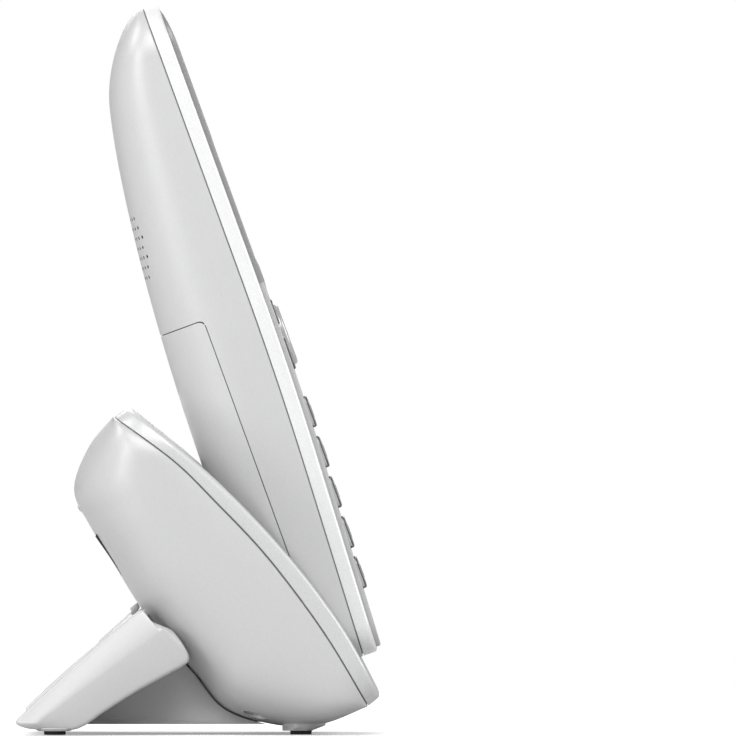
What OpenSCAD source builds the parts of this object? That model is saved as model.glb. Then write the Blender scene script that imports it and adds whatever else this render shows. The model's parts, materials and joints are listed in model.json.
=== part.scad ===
// Cordless phone: a handset docked in its main base, which stands on a clip-on desk stand.
// Millimetres. +Z is up, the keypad faces -Y, X is left to right seen from behind the phone.

/* [Handset] */
// Length of the handset along its own axis
handset_length = 171; // [150:1:190]
// Width of the handset
handset_width = 48; // [42:1:56]
// Depth from the band's front plane to the back
handset_back = 29.4; // [24:0.1:34]
// Thickness of the moulded handset walls
handset_wall = 1.7; // [1.2:0.1:2.4]
// Lean of the docked handset from upright, degrees
dock_lean = 20; // [10:1:30]
// Width of one number key
key_width = 10.6; // [9:0.1:12]
// Height of one number key
key_height = 8.2; // [6:0.1:9]
// Distance between key rows
key_pitch = 10.5; // [9:0.1:12]
// Distance between key columns
key_columns = 12.8; // [12:0.1:14]
// How far a key goes in
key_travel = 0.6; // [0.3:0.1:0.8]
// Gap between a moving key and its hole
key_gap = 0.3; // [0.2:0.05:0.5]

/* [Base] */
// Width of the base
base_width = 100; // [80:1:130]
// Thickness of the moulded base walls
base_wall = 2; // [1.5:0.1:3]
// Gap between the handset and its cradle
dock_gap = 0.6; // [0.4:0.1:1.2]
// Thickness of the rubber pads
pad_thickness = 0.9; // [0.6:0.1:1.5]

/* [Stand] */
// Width of each leg of the stand
leg_width = 10; // [8:0.5:14]
// Distance from the centre to the outside of a leg
leg_outside = 48.5; // [44:0.5:50]

/* [Hidden] */
$fn = 32;
e = 0.01;
L = handset_length;
hw = handset_width / 2;
bw = base_width / 2;
shell_grey = [0.83, 0.84, 0.85];
band_silver = [0.9, 0.91, 0.92];
plate_grey = [0.66, 0.67, 0.69];
key_grey = [0.78, 0.8, 0.82];
dark = [0.12, 0.12, 0.13];
metal = [0.8, 0.78, 0.7];
green = [0.1, 0.35, 0.2];

// ---- curves and lofts ----

function between(a, b, t) = a + (b - a) * t;
function bezier(P, t) = pow(1 - t, 3) * P[0] + 3 * (1 - t) * (1 - t) * t * P[1]
    + 3 * (1 - t) * t * t * P[2] + t * t * t * P[3];
// Smooth curve through the points P at u from 0 to 1
function smooth(P, u) =
    let (n = len(P) - 1, s = min(u * n, n - 0.00001), i = floor(s), t = s - i,
         a = P[max(i - 1, 0)], b = P[i], c = P[i + 1], d = P[min(i + 2, n)])
    0.5 * (2 * b + (c - a) * t + (2 * a - 5 * b + 4 * c - d) * t * t + (3 * b - a - 3 * c + d) * t * t * t);
function flat_list(A) = [for (a = A) for (b = a) b];
function unit(v) = v / max(norm(v), 0.000001);

// A thin shell open along one side: O and I are the outside's and inside's rows of points
module tray(O, I, open_first = false, open_last = false) {
    n = len(O);
    m = len(O[0]);
    q = n * m;
    z = (n - 1) * m;
    sides = [for (i = [0 : n - 2]) for (k = [0 : m - 2]) let (a = i * m + k, b = a + m) each [
        [a, a + 1, b + 1], [a, b + 1, b], [q + a, q + b + 1, q + a + 1], [q + a, q + b, q + b + 1]]];
    rims = [for (i = [0 : n - 2]) let (a = i * m, b = a + m, c = a + m - 1, d = b + m - 1) each [
        [a, b, q + b], [a, q + b, q + a], [c, q + d, d], [c, q + c, q + d]]];
    first = open_first
        ? [for (k = [0 : m - 2]) each [[k + 1, k, q + k], [k + 1, q + k, q + k + 1]]]
        : [[for (k = [m - 1 : -1 : 0]) k], [for (k = [0 : m - 1]) q + k], [0, q, q + m - 1], [0, q + m - 1, m - 1]];
    last = open_last
        ? [for (k = [z : z + m - 2]) each [[k, k + 1, q + k], [k + 1, q + k + 1, q + k]]]
        : [[for (k = [0 : m - 1]) z + k], [for (k = [m - 1 : -1 : 0]) q + z + k],
           [z, q + z + m - 1, q + z], [z, z + m - 1, q + z + m - 1]];
    polyhedron(points = concat(flat_list(O), flat_list(I)), faces = concat(sides, rims, first, last));
}

// A solid skinned over closed rings of points
module skin(R) {
    n = len(R);
    m = len(R[0]);
    z = (n - 1) * m;
    sides = [for (i = [0 : n - 2]) for (k = [0 : m - 1]) let (a = i * m + k, b = i * m + (k + 1) % m) each [
        [a, b, b + m], [a, b + m, a + m]]];
    polyhedron(points = flat_list(R), faces = concat(sides,
        [[for (k = [m - 1 : -1 : 0]) k], [for (k = [0 : m - 1]) z + k]]));
}

// Rounded rectangle, centred
module pill(x, y, r) {
    square([x - 2 * r, y], center = true);
    square([x, y - 2 * r], center = true);
    for (i = [-1, 1]) for (j = [-1, 1]) translate([i * (x / 2 - r), j * (y / 2 - r)]) circle(r, $fn = 20);
}

// ---- handset, in its own frame: z along its axis, +y toward its back ----

module docked() {
    translate([0, -48.31, 21.99]) rotate([-dock_lean, 0, 0]) children();
}

// How far the front curves back toward the bottom end
function bow(z) = z >= 98 ? 0 : z >= 48 ? (98 - z) * (98 - z) / 2040 : 1.225 + 0.049 * (48 - z);
function seam(z) = 4.1 + bow(z);
function band(z) = 0.3 + bow(z);
function face(z) = bow(z) - 0.85;
function side(z) = z > L - 12 ? hw - 12 + sqrt(max(0, 144 - pow(z - L + 12, 2)))
    : z < 8 ? hw - 8 + sqrt(max(0, 64 - pow(8 - z, 2))) : hw;

// The back's side profile as [z, y], from the top down
crown = [[L, 4.1], [L - 0.2, 9.6], [L - 11.2, 18], [L - 20.4, 20.4]];
spine = [[L - 20.4, 20.4], [L - 39.4, 25.3], [L - 80, handset_back], [50, handset_back]];
heel = 6;
back_line = concat([for (t = [0.04, 0.14, 0.27, 0.42, 0.58, 0.75, 0.9]) bezier(crown, t)],
    [for (t = [0 : 0.2 : 1]) bezier(spine, t)], [[28, handset_back], [14, handset_back]],
    [for (a = [0 : 22.5 : 90]) [heel - heel * sin(a), handset_back - heel + heel * cos(a)]]);

// Half section of the back shell: from the seam, round the back, to the other seam
full = 2.8;
function back_row(z, w, low, high, from = 0) = [for (a = [from : (180 - 2 * from) / 20 : 180 - from + e])
    [w * sign(cos(a)) * pow(abs(cos(a)), 2 / full), low + (high - low) * pow(sin(a), 2 / full), z]];
function inset(z, by) = L / 2 + (z - L / 2) * (L / 2 - by) / (L / 2);
function rows_out(line, low) = [for (p = line) back_row(p[0], side(p[0]), seam(p[0]) + low, p[1])];
function rows_in(line, low, t) = [for (p = line) let (z = inset(p[0], t))
    back_row(z, side(p[0]) - t, seam(z) + low, max(p[1] - t, seam(z) + low + 0.15))];

// Section of the front shell: shallow, with a small rounded corner
function front_row(z, w, low, high, r) = [[-w, low, z], [-w, high + r, z], [0.3 * r - w, high + 0.3 * r, z],
    [r - w, high, z], [0, high - 0.01, z], [w - r, high, z], [w - 0.3 * r, high + 0.3 * r, z],
    [w, high + r, z], [w, low, z]];
front_stations = concat([for (a = [90, 80, 68, 54, 38, 20]) L - 12 + 12 * sin(a)],
    [150, 125, 98, 88, 78, 68, 58, 48, 30, 15], [for (a = [0 : 22.5 : 90]) 8 - 8 * sin(a)]);
function end_round(z) = max(0, 1 - 1.2 * (L - z)) + max(0, 1 - 1.2 * z);

module front_tray() {
    t = 1.6;
    tray([for (z = front_stations) front_row(z, side(z), seam(z) - 0.05, band(z) + end_round(z), 1)],
         [for (p = front_stations) let (z = inset(p, t)) front_row(z, side(p) - t, seam(z) - 0.05, band(z) + t, 0.8)]);
}

// Keys: name, column, centre height, width, height, how proud of the band plane
function row_z(r) = 61.9 - key_pitch * r;
function proud(z) = bow(z) - 1.85;
grid_names = [["key_1", "key_2", "key_3"], ["key_4", "key_5", "key_6"], ["key_7", "key_8", "key_9"],
    ["key_star", "key_0", "key_pound"], ["key_redial", "key_speaker", "key_mute"]];
upper_keys = [["softkey_left", -14.6, 88.3, 9.2, 6.9, -1.25], ["softkey_right", 14.6, 88.3, 9.2, 6.9, -1.25],
    ["talk_key", -14.6, 77.4, 9.2, 8.6, -1.2], ["off_key", 14.6, 77.4, 9.2, 8.6, -1.2]];
nav_z = 82.4;
nav_x = 16.4;
nav_h = 16.4;

// Through-holes for every key, for cutting the faceplate and front shell
module key_holes(y0, y1) {
    g = 2 * key_gap;
    for (r = [0 : 4]) for (c = [-1 : 1])
        translate([c * key_columns, y1, row_z(r)]) rotate([90, 0, 0]) linear_extrude(y1 - y0)
            pill(key_width + g, key_height + g, 2.2);
    for (k = upper_keys) translate([k[1], y1, k[2]]) rotate([90, 0, 0]) linear_extrude(y1 - y0)
        pill(k[3] + g, k[4] + g, 2.2);
    translate([0, y1, nav_z]) rotate([90, 0, 0]) linear_extrude(y1 - y0) pill(nav_x + g, nav_h + g, 7);
}

// One key: a cap through the plate and a flange behind the front shell
module one_key(x, z, w, h, top) {
    flange = band(z - h / 2) + 1.6 + 0.35;
    color(key_grey) docked() {
        translate([x, flange + 0.9, z]) rotate([90, 0, 0]) linear_extrude(flange + 0.9 - top) pill(w, h, 2);
        translate([x, flange + 0.9, z]) rotate([90, 0, 0]) linear_extrude(0.9) pill(w + 1.6, h + 1.6, 2.4);
    }
}

module grid_key(r, c) {
    one_key((c - 1) * key_columns, row_z(r), key_width, key_height, proud(row_z(r)));
}

module upper_key(i) {
    k = upper_keys[i];
    one_key(k[1], k[2], k[3], k[4], k[5]);
}

nav_pivot = 3.9;
module nav_key() {
    flange = band(nav_z - 8) + 1.6 + 0.35;
    color(plate_grey) docked() difference() {
        union() {
            translate([0, flange + 0.9, nav_z]) rotate([90, 0, 0])
                linear_extrude(flange + 0.9 + 2.1) pill(nav_x, nav_h, 7);
            translate([0, flange + 0.9, nav_z]) rotate([90, 0, 0])
                linear_extrude(0.9) pill(nav_x + 1, nav_h + 1, 7.4);
            // the round bar it rocks on
            translate([-4, nav_pivot, nav_z]) rotate([0, 90, 0]) cylinder(h = 8, r = 0.6);
        }
        translate([0, -1.5, nav_z]) rotate([90, 0, 0]) linear_extrude(2) pill(9.4, 9.4, 4);
    }
}

earpiece_z = 150;
screen_z = 118;
mic_z = 8;
screw_x = 16.5;
screw_z = 9;

module handset_front_shell() {
    color(band_silver) docked() difference() {
        union() {
            front_tray();
            for (i = [-1, 1]) translate([screw_x * i, 8.4, screw_z]) rotate([90, 0, 0]) cylinder(h = 3.8, d = 4);
        }
        key_holes(-2, 8);
        translate([0, 6, screen_z]) rotate([90, 0, 0]) linear_extrude(8) pill(33, 27, 2);
        translate([0, 6, earpiece_z]) rotate([90, 0, 0]) linear_extrude(8) pill(14, 6, 2.9);
        translate([0, 10, mic_z]) rotate([90, 0, 0]) cylinder(h = 12, d = 1.4);
        for (i = [-1, 1]) translate([screw_x * i, 9, screw_z]) rotate([90, 0, 0]) cylinder(h = 3.4, d = 1.7);
    }
}

// Outline of the raised plate in front view, as half-widths
plate_top = L - 2;
plate_low = 1;
function plate_side(z) = hw - 3.4 - (z > plate_top - 9 ? 9 - sqrt(max(0, 81 - pow(z - plate_top + 9, 2))) : 0)
    - (z < plate_low + 7 ? 7 - sqrt(max(0, 49 - pow(plate_low + 7 - z, 2))) : 0);
plate_stations = concat([for (a = [88, 70, 50, 25]) plate_top - 9 + 9 * sin(a)],
    [135, 98, 88, 78, 68, 58, 48, 30], [for (a = [0, 30, 60, 88]) plate_low + 7 - 7 * sin(a)]);
function plate_row(z) = let (w = plate_side(z), a = band(z) - 0.05, b = face(z))
    [[-w, a, z], [-w, b + 0.5, z], [0.5 - w, b, z], [w - 0.5, b, z], [w, b + 0.5, z], [w, a, z]];

module faceplate() {
    color(plate_grey) docked() difference() {
        skin([for (z = plate_stations) plate_row(z)]);
        key_holes(-2, 8);
        translate([0, 2, screen_z]) rotate([90, 0, 0]) linear_extrude(5) pill(35, 29, 2.5);
        for (i = [-2 : 2]) translate([i * 2.6, 2, earpiece_z]) rotate([90, 0, 0]) linear_extrude(5)
            pill(1.2, 5 - abs(i) * 0.8, 0.59);
        translate([0, 10, mic_z]) rotate([90, 0, 0]) cylinder(h = 12, d = 1.4);
    }
}

module display_lens() {
    color([0.35, 0.4, 0.38]) docked() translate([0, 0.24, screen_z]) rotate([90, 0, 0])
        linear_extrude(1.06) pill(34.7, 28.7, 2.35);
}

module lcd_module() {
    color([0.5, 0.55, 0.45]) docked() {
        translate([-15.7, 0.6, screen_z - 12.7]) cube([31.4, 2.6, 25.4]);
        translate([-17.5, 3.2, screen_z - 15]) cube([35, 5, 30]);
    }
}

module earpiece_speaker() {
    color(dark) docked() translate([0, 1.95, earpiece_z]) rotate([-90, 0, 0]) {
        cylinder(h = 4.6, d = 18);
        translate([0, 0, 4.6 - e]) cylinder(h = 1.6, d = 10);
    }
}

module microphone() {
    color(dark) docked() translate([0, 5.4, mic_z]) rotate([-90, 0, 0]) cylinder(h = 2.6, d = 5.5);
}

pcb_y = 8.5;

module handset_circuit_board() {
    color(green) docked() {
        translate([-20.8, pcb_y, 12]) cube([41.6, 1.6, 132]);
        translate([-9, pcb_y + 1.6 - e, 84]) cube([14, 1.6, 14]);
        translate([7, pcb_y + 1.6 - e, 70]) cube([9, 1.2, 9]);
        translate([-12, pcb_y + 1.6 - e, 128]) cube([24, 3, 8]);
    }
}

module keypad_mat() {
    zs = [14, 30, 48, 60, 72, 84, 93];
    color([0.55, 0.56, 0.58]) docked() translate([-19.9, 0, 0]) rotate([90, 0, 90]) linear_extrude(39.8)
        polygon(concat([for (z = zs) [band(z) + 1.6 + 0.35 + 0.9 + key_travel + 0.65, z]],
            [[pcb_y - 0.1, 93], [pcb_y - 0.1, 14]]));
}

door_y = 16.6;
door_top = 92.3;

speaker_z = 114.6;
module speaker_holes() {
    for (r = [-3 : 3]) for (c = [-12 : 12]) if ((c + r) % 2 != 0 && norm([c * 1.21, r * 2.5]) < 14.9)
        translate([c * 1.21, 34, speaker_z + r * 2.5]) rotate([90, 0, 0]) cylinder(h = 17, d = 0.8, $fn = 6);
}

module handset_rear_shell() {
    color(shell_grey) docked() difference() {
        union() {
            difference() {
                tray(rows_out(back_line, 0.05), rows_in(back_line, 0.05, handset_wall));
                translate([-30, door_y - 0.1, -5]) cube([60, 20, door_top + 5.2]);
                speaker_holes();
            }
            // floor and head wall of the battery bay
            translate([-22.1, 12.9, 3]) cube([44.2, 1.5, door_top - 2]);
            for (i = [-1, 1]) translate([screw_x * i, 8.6, screw_z]) rotate([-90, 0, 0]) cylinder(h = 5, d = 4.6);
            // hook rails that the door slides on
            for (i = [-1, 1]) translate([i * 19.2 - 0.8, 14.3, 12]) cube([1.6, 3.4, 70]);
        }
        for (i = [-1, 1]) translate([screw_x * i, 8, screw_z]) rotate([-90, 0, 0]) cylinder(h = 8, d = 2);
        for (i = [-1, 1]) translate([i * 9 - 3.2, 8, -1]) cube([6.4, 8.2, 2.9]);
    }
}

module battery_door() {
    line = [for (p = concat([[door_top, smooth([[92.3, 28.45], [70, 29.1], [50, handset_back]], 0)[1]],
        [82, 28.78], [66, 29.2]], [for (q = back_line) if (q[0] < 55) q])) p];
    t = handset_wall;
    function from(low, high, z) = asin(pow(min(1, (door_y - seam(z)) / (high - seam(z))), full / 2));
    color(shell_grey) docked()
        tray([for (p = line) back_row(p[0], side(p[0]), seam(p[0]), p[1], from(0, p[1], p[0]))],
             [for (p = line) let (z = p[0] > 60 ? p[0] : inset(p[0], t), h = max(p[1] - t, door_y + 1))
                 back_row(z, side(p[0]) - t, seam(z), h, from(0, h, z))], open_first = true);
}

module speakerphone_driver() {
    color(dark) docked() translate([0, 17.6, 114.5]) rotate([-90, 0, 0]) {
        cylinder(h = 4.4, d = 24);
        translate([0, 0, -3]) cylinder(h = 3 + e, d = 13);
    }
}

module battery_pack() {
    color([0.25, 0.3, 0.45]) docked() for (i = [-1 : 1])
        translate([i * 10.6, 20.1, 26]) cylinder(h = 50, d = 10.2);
    color([0.25, 0.3, 0.45]) docked() translate([-13, 17.6, 27]) cube([26, 5, 48]);
}

module battery_contacts() {
    color(metal) docked() {
        translate([-8, 14.5, 79]) cube([16, 6, 5]);
        for (i = [-1, 1]) translate([i * 4, 17.5, 77.4]) cylinder(h = 2, d = 1.6);
    }
}

module handset_contact_plates() {
    color(metal) docked() for (i = [-1, 1]) {
        translate([i * 9 - 3, 8.5, 0.15]) cube([6, 7.4, 1]);
        translate([i * 9 - 3, 8.5, 0.15]) cube([6, 0.8, 11.4]);
    }
}

module handset_screws() {
    color(metal) docked() for (i = [-1, 1]) translate([screw_x * i, 14.45, screw_z]) {
        rotate([90, 0, 0]) cylinder(h = 8, d = 1.6);
        rotate([-90, 0, 0]) difference() {
            translate([0, 0, -e]) cylinder(h = 1.4, d = 3.1);
            translate([-0.3, -1.2, 0.8]) cube([0.6, 2.4, 1]);
            translate([-1.2, -0.3, 0.8]) cube([2.4, 0.6, 1]);
        }
    }
}

// ---- base ----

// Side profiles as [y, z], all from the top end to the front end
groove = [[20.75, 79.05], [5.8, 68.1], [-4.65, 57.9], [-15.6, 46.4], [-25, 34.6], [-33.6, 22.2], [-42.4, 7.2]];
slope = [[17.4, 81.4], [3.4, 70.2], [-8, 59.9], [-19.3, 48], [-29, 36.3], [-37.6, 23.9], [-45.28, 9.5]];
hull_line = [[21.4, 79], [27.5, 71.5], [31.2, 61], [27.4, 52.2], [21.2, 42.3], [15.1, 32.4], [8.4, 23.8],
    [0.7, 14.7], [-6.8, 6.1], [-19.6, 2.1], [-31, 2.4], [-42.2, 6.9]];
shoulder = 14;
toe = 11;
run = 96;
function half(u) = let (a = run * u, b = run * (1 - u))
    bw - (a < shoulder ? shoulder - sqrt(max(0, shoulder * shoulder - pow(shoulder - a, 2))) : 0)
    - (b < toe ? toe - sqrt(max(0, toe * toe - pow(toe - b, 2))) : 0);
base_us = [0.004, 0.03, 0.07, 0.12, 0.18, 0.24, 0.3, 0.36, 0.42, 0.48, 0.54, 0.6, 0.66, 0.72, 0.78, 0.84, 0.89,
    0.93, 0.96, 0.98, 0.996];
// rounder toward the top end
function square_side(u) = let (t = min(u / 0.45, 1)) 2.7 + 1.7 * t * t * (3 - 2 * t);
function base_row(u, w, g, o) = [for (a = [0 : 9 : 180])
    let (f = pow(sin(a), 2 / square_side(u)), p = between(g, o, f))
    [w * sign(cos(a)) * pow(abs(cos(a)), 2 / square_side(u)), p[0], p[1]]];
function sink(u, by) = 0.5 + (u - 0.5) * (1 - 2 * by / run);
function hull_rows(grow) = [for (u = base_us) let (g = smooth(groove, u), o = smooth(hull_line, u))
    base_row(u, half(u) + grow, g + 0.15 * unit(o - g), o + grow * unit(o - g))];
hull_inside = [for (v = base_us) let (u = sink(v, 2.6), g = smooth(groove, u), o = smooth(hull_line, u), d = norm(o - g))
    base_row(u, half(v) - base_wall, g + 0.15 * unit(o - g),
        g + unit(o - g) * max(0.4, d - base_wall - 0.3))];

function cover_row(w, g, b, r) = let (n = unit(b - g), d = norm(b - g)) [for (p = [[-w, 0], [-w, d - r],
    [0.3 * r - w, d - 0.3 * r], [r - w, d], [0, d + 0.01], [w - r, d], [w - 0.3 * r, d - 0.3 * r],
    [w, d - r], [w, 0]]) [p[0], g[0] + n[0] * p[1], g[1] + n[1] * p[1]]];

// Everything below the slope, for trimming the cradle
module under_slope(low) {
    translate([-bw, 0, 0]) rotate([90, 0, 90]) linear_extrude(2 * bw)
        polygon(concat([for (u = [0 : 0.05 : 1]) smooth(slope, u) + low * [0.65, -0.76]],
            [[-30, 2], [30, 10], [34, 60]]));
}

cradle_x = hw + dock_gap;
cradle_y = handset_back + dock_gap;
cradle_floor = -0.5;

base_screw_x = 35;
base_screw_y = -14;

module cradle_cut() {
    // room for the handset, straight up along its axis
    docked() translate([0, 0, cradle_floor]) linear_extrude(90) {
        translate([-cradle_x, -40]) square([2 * cradle_x, 40 + cradle_y - 9]);
        translate([9 - cradle_x, 0]) square([2 * cradle_x - 18, cradle_y]);
        for (i = [-1, 1]) translate([i * (cradle_x - 9), cradle_y - 9]) circle(9);
    }
}

module base_top_cover() {
    w = 2;
    color(band_silver) difference() {
        union() {
            tray([for (u = base_us) cover_row(half(u), smooth(groove, u), smooth(slope, u), 1.1)],
                 [for (v = base_us) let (u = sink(v, 2), g = smooth(groove, u), s = smooth(slope, u))
                     cover_row(half(v) - w, g, g + unit(s - g) * max(0.3, norm(s - g) - w), 0.3)]);
            intersection() {
                union() {
                    for (i = [-1, 1]) translate([i * base_screw_x, base_screw_y, 9.7]) cylinder(h = 60, d = 7);
                    docked() translate([0, 0, cradle_floor - w]) linear_extrude(86) {
                        translate([-cradle_x - w, -20]) square([2 * (cradle_x + w), 20 + cradle_y - 9]);
                        translate([9 - cradle_x, 0]) square([2 * cradle_x - 18, cradle_y + w]);
                        for (i = [-1, 1]) translate([i * (cradle_x - 9), cradle_y - 9]) circle(9 + w);
                    }
                }
                under_slope(1.1);
            }
        }
        cradle_cut();
        // slots for the charging springs, wells for the find key and light
        docked() for (i = [-1, 1]) translate([i * 9 - 2, 11.4, -6]) cube([4, 4.7, 8]);
        at_top_shelf() {
            translate([0, 0, -6]) linear_extrude(12) pill(14.6, 8.6, 3.9);
            translate([16, 0, -6]) cylinder(h = 12, d = 4);
        }
        for (i = [-1, 1]) translate([i * base_screw_x, base_screw_y, 0]) cylinder(h = 22, d = 2.6);
    }
}

// The shelf behind the handset: origin on the cover's surface, z out of it
shelf = smooth(slope, 0.075);
module at_top_shelf() {
    translate([0, shelf[0], shelf[1]]) rotate([39.5, 0, 0]) children();
}

module find_handset_key() {
    color(key_grey) at_top_shelf() {
        translate([0, 0, -3]) linear_extrude(2.9) pill(14, 8, 3.6);
        translate([0, 0, -4]) linear_extrude(1) pill(16, 9.4, 4.2);
    }
}

module in_use_light() {
    color([0.75, 0.2, 0.15]) at_top_shelf() translate([16, 0, -4]) {
        cylinder(h = 3.9, d = 3.8);
        cylinder(h = 1, d = 5);
    }
}

// The rear wall that the sockets sit in: origin on the wall, +y out of it
module at_rear_wall(x) {
    translate([x, 22.4, 44.5]) rotate([-35, 0, 0]) children();
}

module screw_wells() {
    for (i = [-1, 1]) translate([i * base_screw_x, base_screw_y, -1]) {
        cylinder(h = 14, d = 2.8);
        cylinder(h = 8.2, d = 5.6);
    }
}

module base_lower_shell() {
    color(shell_grey) difference() {
        union() {
            tray(hull_rows(0), hull_inside);
            // bosses over the front feet and round the screws
            for (i = [-1, 1]) hull() {
                translate([i * 30, -26.3, 2.2]) cylinder(h = 2.1, d = 11);
                translate([i * 30, -24.7, pad_thickness]) linear_extrude(1) pill(9.8, 7.3, 2.2);
            }
            for (i = [-1, 1]) translate([i * base_screw_x, base_screw_y, 5.2]) cylinder(h = 4.3, d = 8.4);
            // small lip across the back wall
            translate([-17, 0, 0]) rotate([90, 0, 90]) linear_extrude(34)
                polygon([[27.7, 57.9], [29.6, 57.8], [30.15, 57.3], [30.2, 56.4], [29.7, 55.6], [28.7, 54.9], [27.7, 54.6]]);
        }
        at_rear_wall(-20) translate([-6.3, -8, -6.1]) cube([12.6, 14, 12.2]);
        at_rear_wall(20) rotate([-90, 0, 0]) translate([0, 0, -8]) cylinder(h = 14, d = 9.6);
        screw_wells();
        // slots that take the stand's hooks
        for (i = [-1, 1]) translate([i * 24, 11.9, 31.2]) rotate([-37, 0, 0]) cube([8.4, 13, 2.6], center = true);
    }
}

module line_jack() {
    color([0.2, 0.2, 0.21]) at_rear_wall(-20) difference() {
        translate([-6, -14, -5.8]) cube([12, 14, 11.6]);
        translate([-4.9, -11, -3.4]) cube([9.8, 12, 6.6]);
        translate([-3.2, -11, -4.9]) cube([6.4, 12, 3]);
        translate([-1.7, -11, -5.4]) cube([3.4, 12, 3]);
    }
    color(metal) at_rear_wall(-20) for (i = [-1.5 : 1 : 1.5])
        translate([i * 1.3 - 0.2, -10.9, 1.6]) cube([0.4, 8, 1.7]);
}

module power_jack() {
    color([0.2, 0.2, 0.21]) at_rear_wall(20) rotate([-90, 0, 0]) difference() {
        union() {
            translate([0, 0, -10]) cylinder(h = 10, d = 9);
            translate([-5.5, -5.5, -14]) cube([11, 11, 4.02]);
        }
        translate([0, 0, -9]) cylinder(h = 10, d = 6.3);
    }
    color(metal) at_rear_wall(20) rotate([-90, 0, 0]) translate([0, 0, -9.5]) cylinder(h = 8.6, d = 1.65);
}

module base_circuit_board() {
    color(green) docked() difference() {
        union() {
            translate([-28, 34.2, 6]) cube([56, 1.6, 46]);
            translate([-14, 35.8 - e, 30]) cube([13, 2, 13]);
            translate([6, 35.8 - e, 16]) cube([10, 3, 10]);
            translate([-26, 35.8 - e, 12]) cube([8, 5, 9]);
        }
        for (i = [-1, 1]) for (z = [10, 48]) translate([25 * i, 30, z]) rotate([-90, 0, 0]) cylinder(h = 5.7, d = 2.6);
    }
}

module base_ringer() {
    color(dark) docked() translate([6, 35.9, 38]) rotate([-90, 0, 0]) cylinder(h = 5, d = 12);
}

module charge_contacts() {
    color(metal) docked() for (i = [-1, 1]) {
        translate([i * 9 - 1.6, 11.8, -4.6]) cube([3.2, 3.9, 0.5]);
        translate([i * 9 - 1.6, 11.8, -4.6]) cube([3.2, 0.5, 4.2]);
        translate([i * 9 - 1.6, 11.8, -0.85]) cube([3.2, 3.1, 0.5]);
    }
}

module base_screws() {
    color(metal) for (i = [-1, 1]) translate([i * base_screw_x, base_screw_y, 7.15]) {
        cylinder(h = 9, d = 2.4);
        difference() {
            translate([0, 0, -1.6]) cylinder(h = 1.61, d = 5);
            translate([-0.4, -1.8, -2]) cube([0.8, 3.6, 1.2]);
            translate([-1.8, -0.4, -2]) cube([3.6, 0.8, 1.2]);
        }
    }
}

module base_feet() {
    color(dark) for (i = [-1, 1]) translate([i * 30, -25.55, 0])
        linear_extrude(pad_thickness) pill(9, 5.3, 0.8);
}

// ---- stand ----

leg_line = [[15.1, 31.3], [14.2, 31], [11.5, 28.2], [6.4, 26], [3.4, 22.6], [2.3, 19.75], [2.8, 17.8], [9, 14.3],
    [17, 9.9], [23, 6.35], [28.1, 2.7], [30.35, 1.4], [31.4, pad_thickness], [40.2, pad_thickness], [41.3, 1.5],
    [44.5, 2.3], [45.2, 2.9], [45.2, 3.4], [42.5, 5.9], [25.1, 22.1]];

module leg_strip(x0, x1, line) {
    translate([x0, 0, 0]) rotate([90, 0, 90]) linear_extrude(x1 - x0) polygon(line);
}

module desk_stand() {
    a = leg_outside;
    b = leg_outside - leg_width;
    color(shell_grey) difference() {
        union() {
            for (i = [-1, 1]) {
                leg_strip(min(i * (a - 1.4), i * (b + 1.4)), max(i * (a - 1.4), i * (b + 1.4)), leg_line);
                leg_strip(min(i * a, i * b), max(i * a, i * b), [for (p = leg_line) between(p, [23, 14], 0.06)]);
            }
            // cross panel along the rear edge, its two raised strips and the inner web
            leg_strip(-b - 2, b + 2, [[43.4, 6.2], [33.2, 15.6], [25.3, 22.3], [16.6, 30.2], [15.2, 28.6], [24, 20.6],
                [32, 13.8], [41.8, 4.8], [43, 4]]);
            leg_strip(-20, 20, [[24.9, 22.9], [16.9, 30.1], [16.3, 29.4], [24.2, 22.2]]);
            leg_strip(-9, 9, [[17.3, 31.05], [15.45, 32.5], [14.8, 31.4], [16, 29.2]]);
            for (i = [-1, 1]) leg_strip(i * 24 - 1, i * 24 + 1,
                [[-13, 2.6], [28, 2.6], [41, 5.2], [24, 20.8], [16, 28.4], [13.6, 29.2], [3.2, 16.2], [-2.2, 9.5], [-13, 4.5]]);
        }
        skin(hull_rows(0.35));
    }
    // hooks that clip into the slots in the base's rear wall
    color(shell_grey) for (i = [-1, 1]) translate([i * 24, 12.7, 30.6]) rotate([-37, 0, 0])
        cube([7.6, 8.6, 1.8], center = true);
}

module stand_feet() {
    color(dark) for (i = [-1, 1]) translate([i * 43.5, 35.6, 0]) cylinder(h = pad_thickness - 0.02, d = 5.6);
}

handset_rear_shell();
handset_front_shell();
faceplate();
display_lens();
lcd_module();
earpiece_speaker();
speakerphone_driver();
microphone();
handset_circuit_board();
keypad_mat();
battery_pack();
battery_door();
battery_contacts();
handset_contact_plates();
handset_screws();
grid_key(0, 0);  // key_1
grid_key(0, 1);  // key_2
grid_key(0, 2);  // key_3
grid_key(1, 0);  // key_4
grid_key(1, 1);  // key_5
grid_key(1, 2);  // key_6
grid_key(2, 0);  // key_7
grid_key(2, 1);  // key_8
grid_key(2, 2);  // key_9
grid_key(3, 0);  // key_star
grid_key(3, 1);  // key_0
grid_key(3, 2);  // key_pound
grid_key(4, 0);  // key_redial
grid_key(4, 1);  // key_speaker
grid_key(4, 2);  // key_mute
upper_key(0);  // softkey_left
upper_key(1);  // softkey_right
upper_key(2);  // talk_key
upper_key(3);  // off_key
nav_key();
base_lower_shell();
base_top_cover();
base_circuit_board();
charge_contacts();
base_ringer();
line_jack();
power_jack();
find_handset_key();
in_use_light();
base_screws();
base_feet();
desk_stand();
stand_feet();
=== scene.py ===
"""A cordless handset docked in its base: the looks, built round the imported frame."""

import json
from math import asin, cos, hypot, pi, radians, sin, sqrt

import bmesh
import bpy
import numpy as np
from mathutils import Matrix, Vector
from mathutils.geometry import delaunay_2d_cdt

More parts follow.
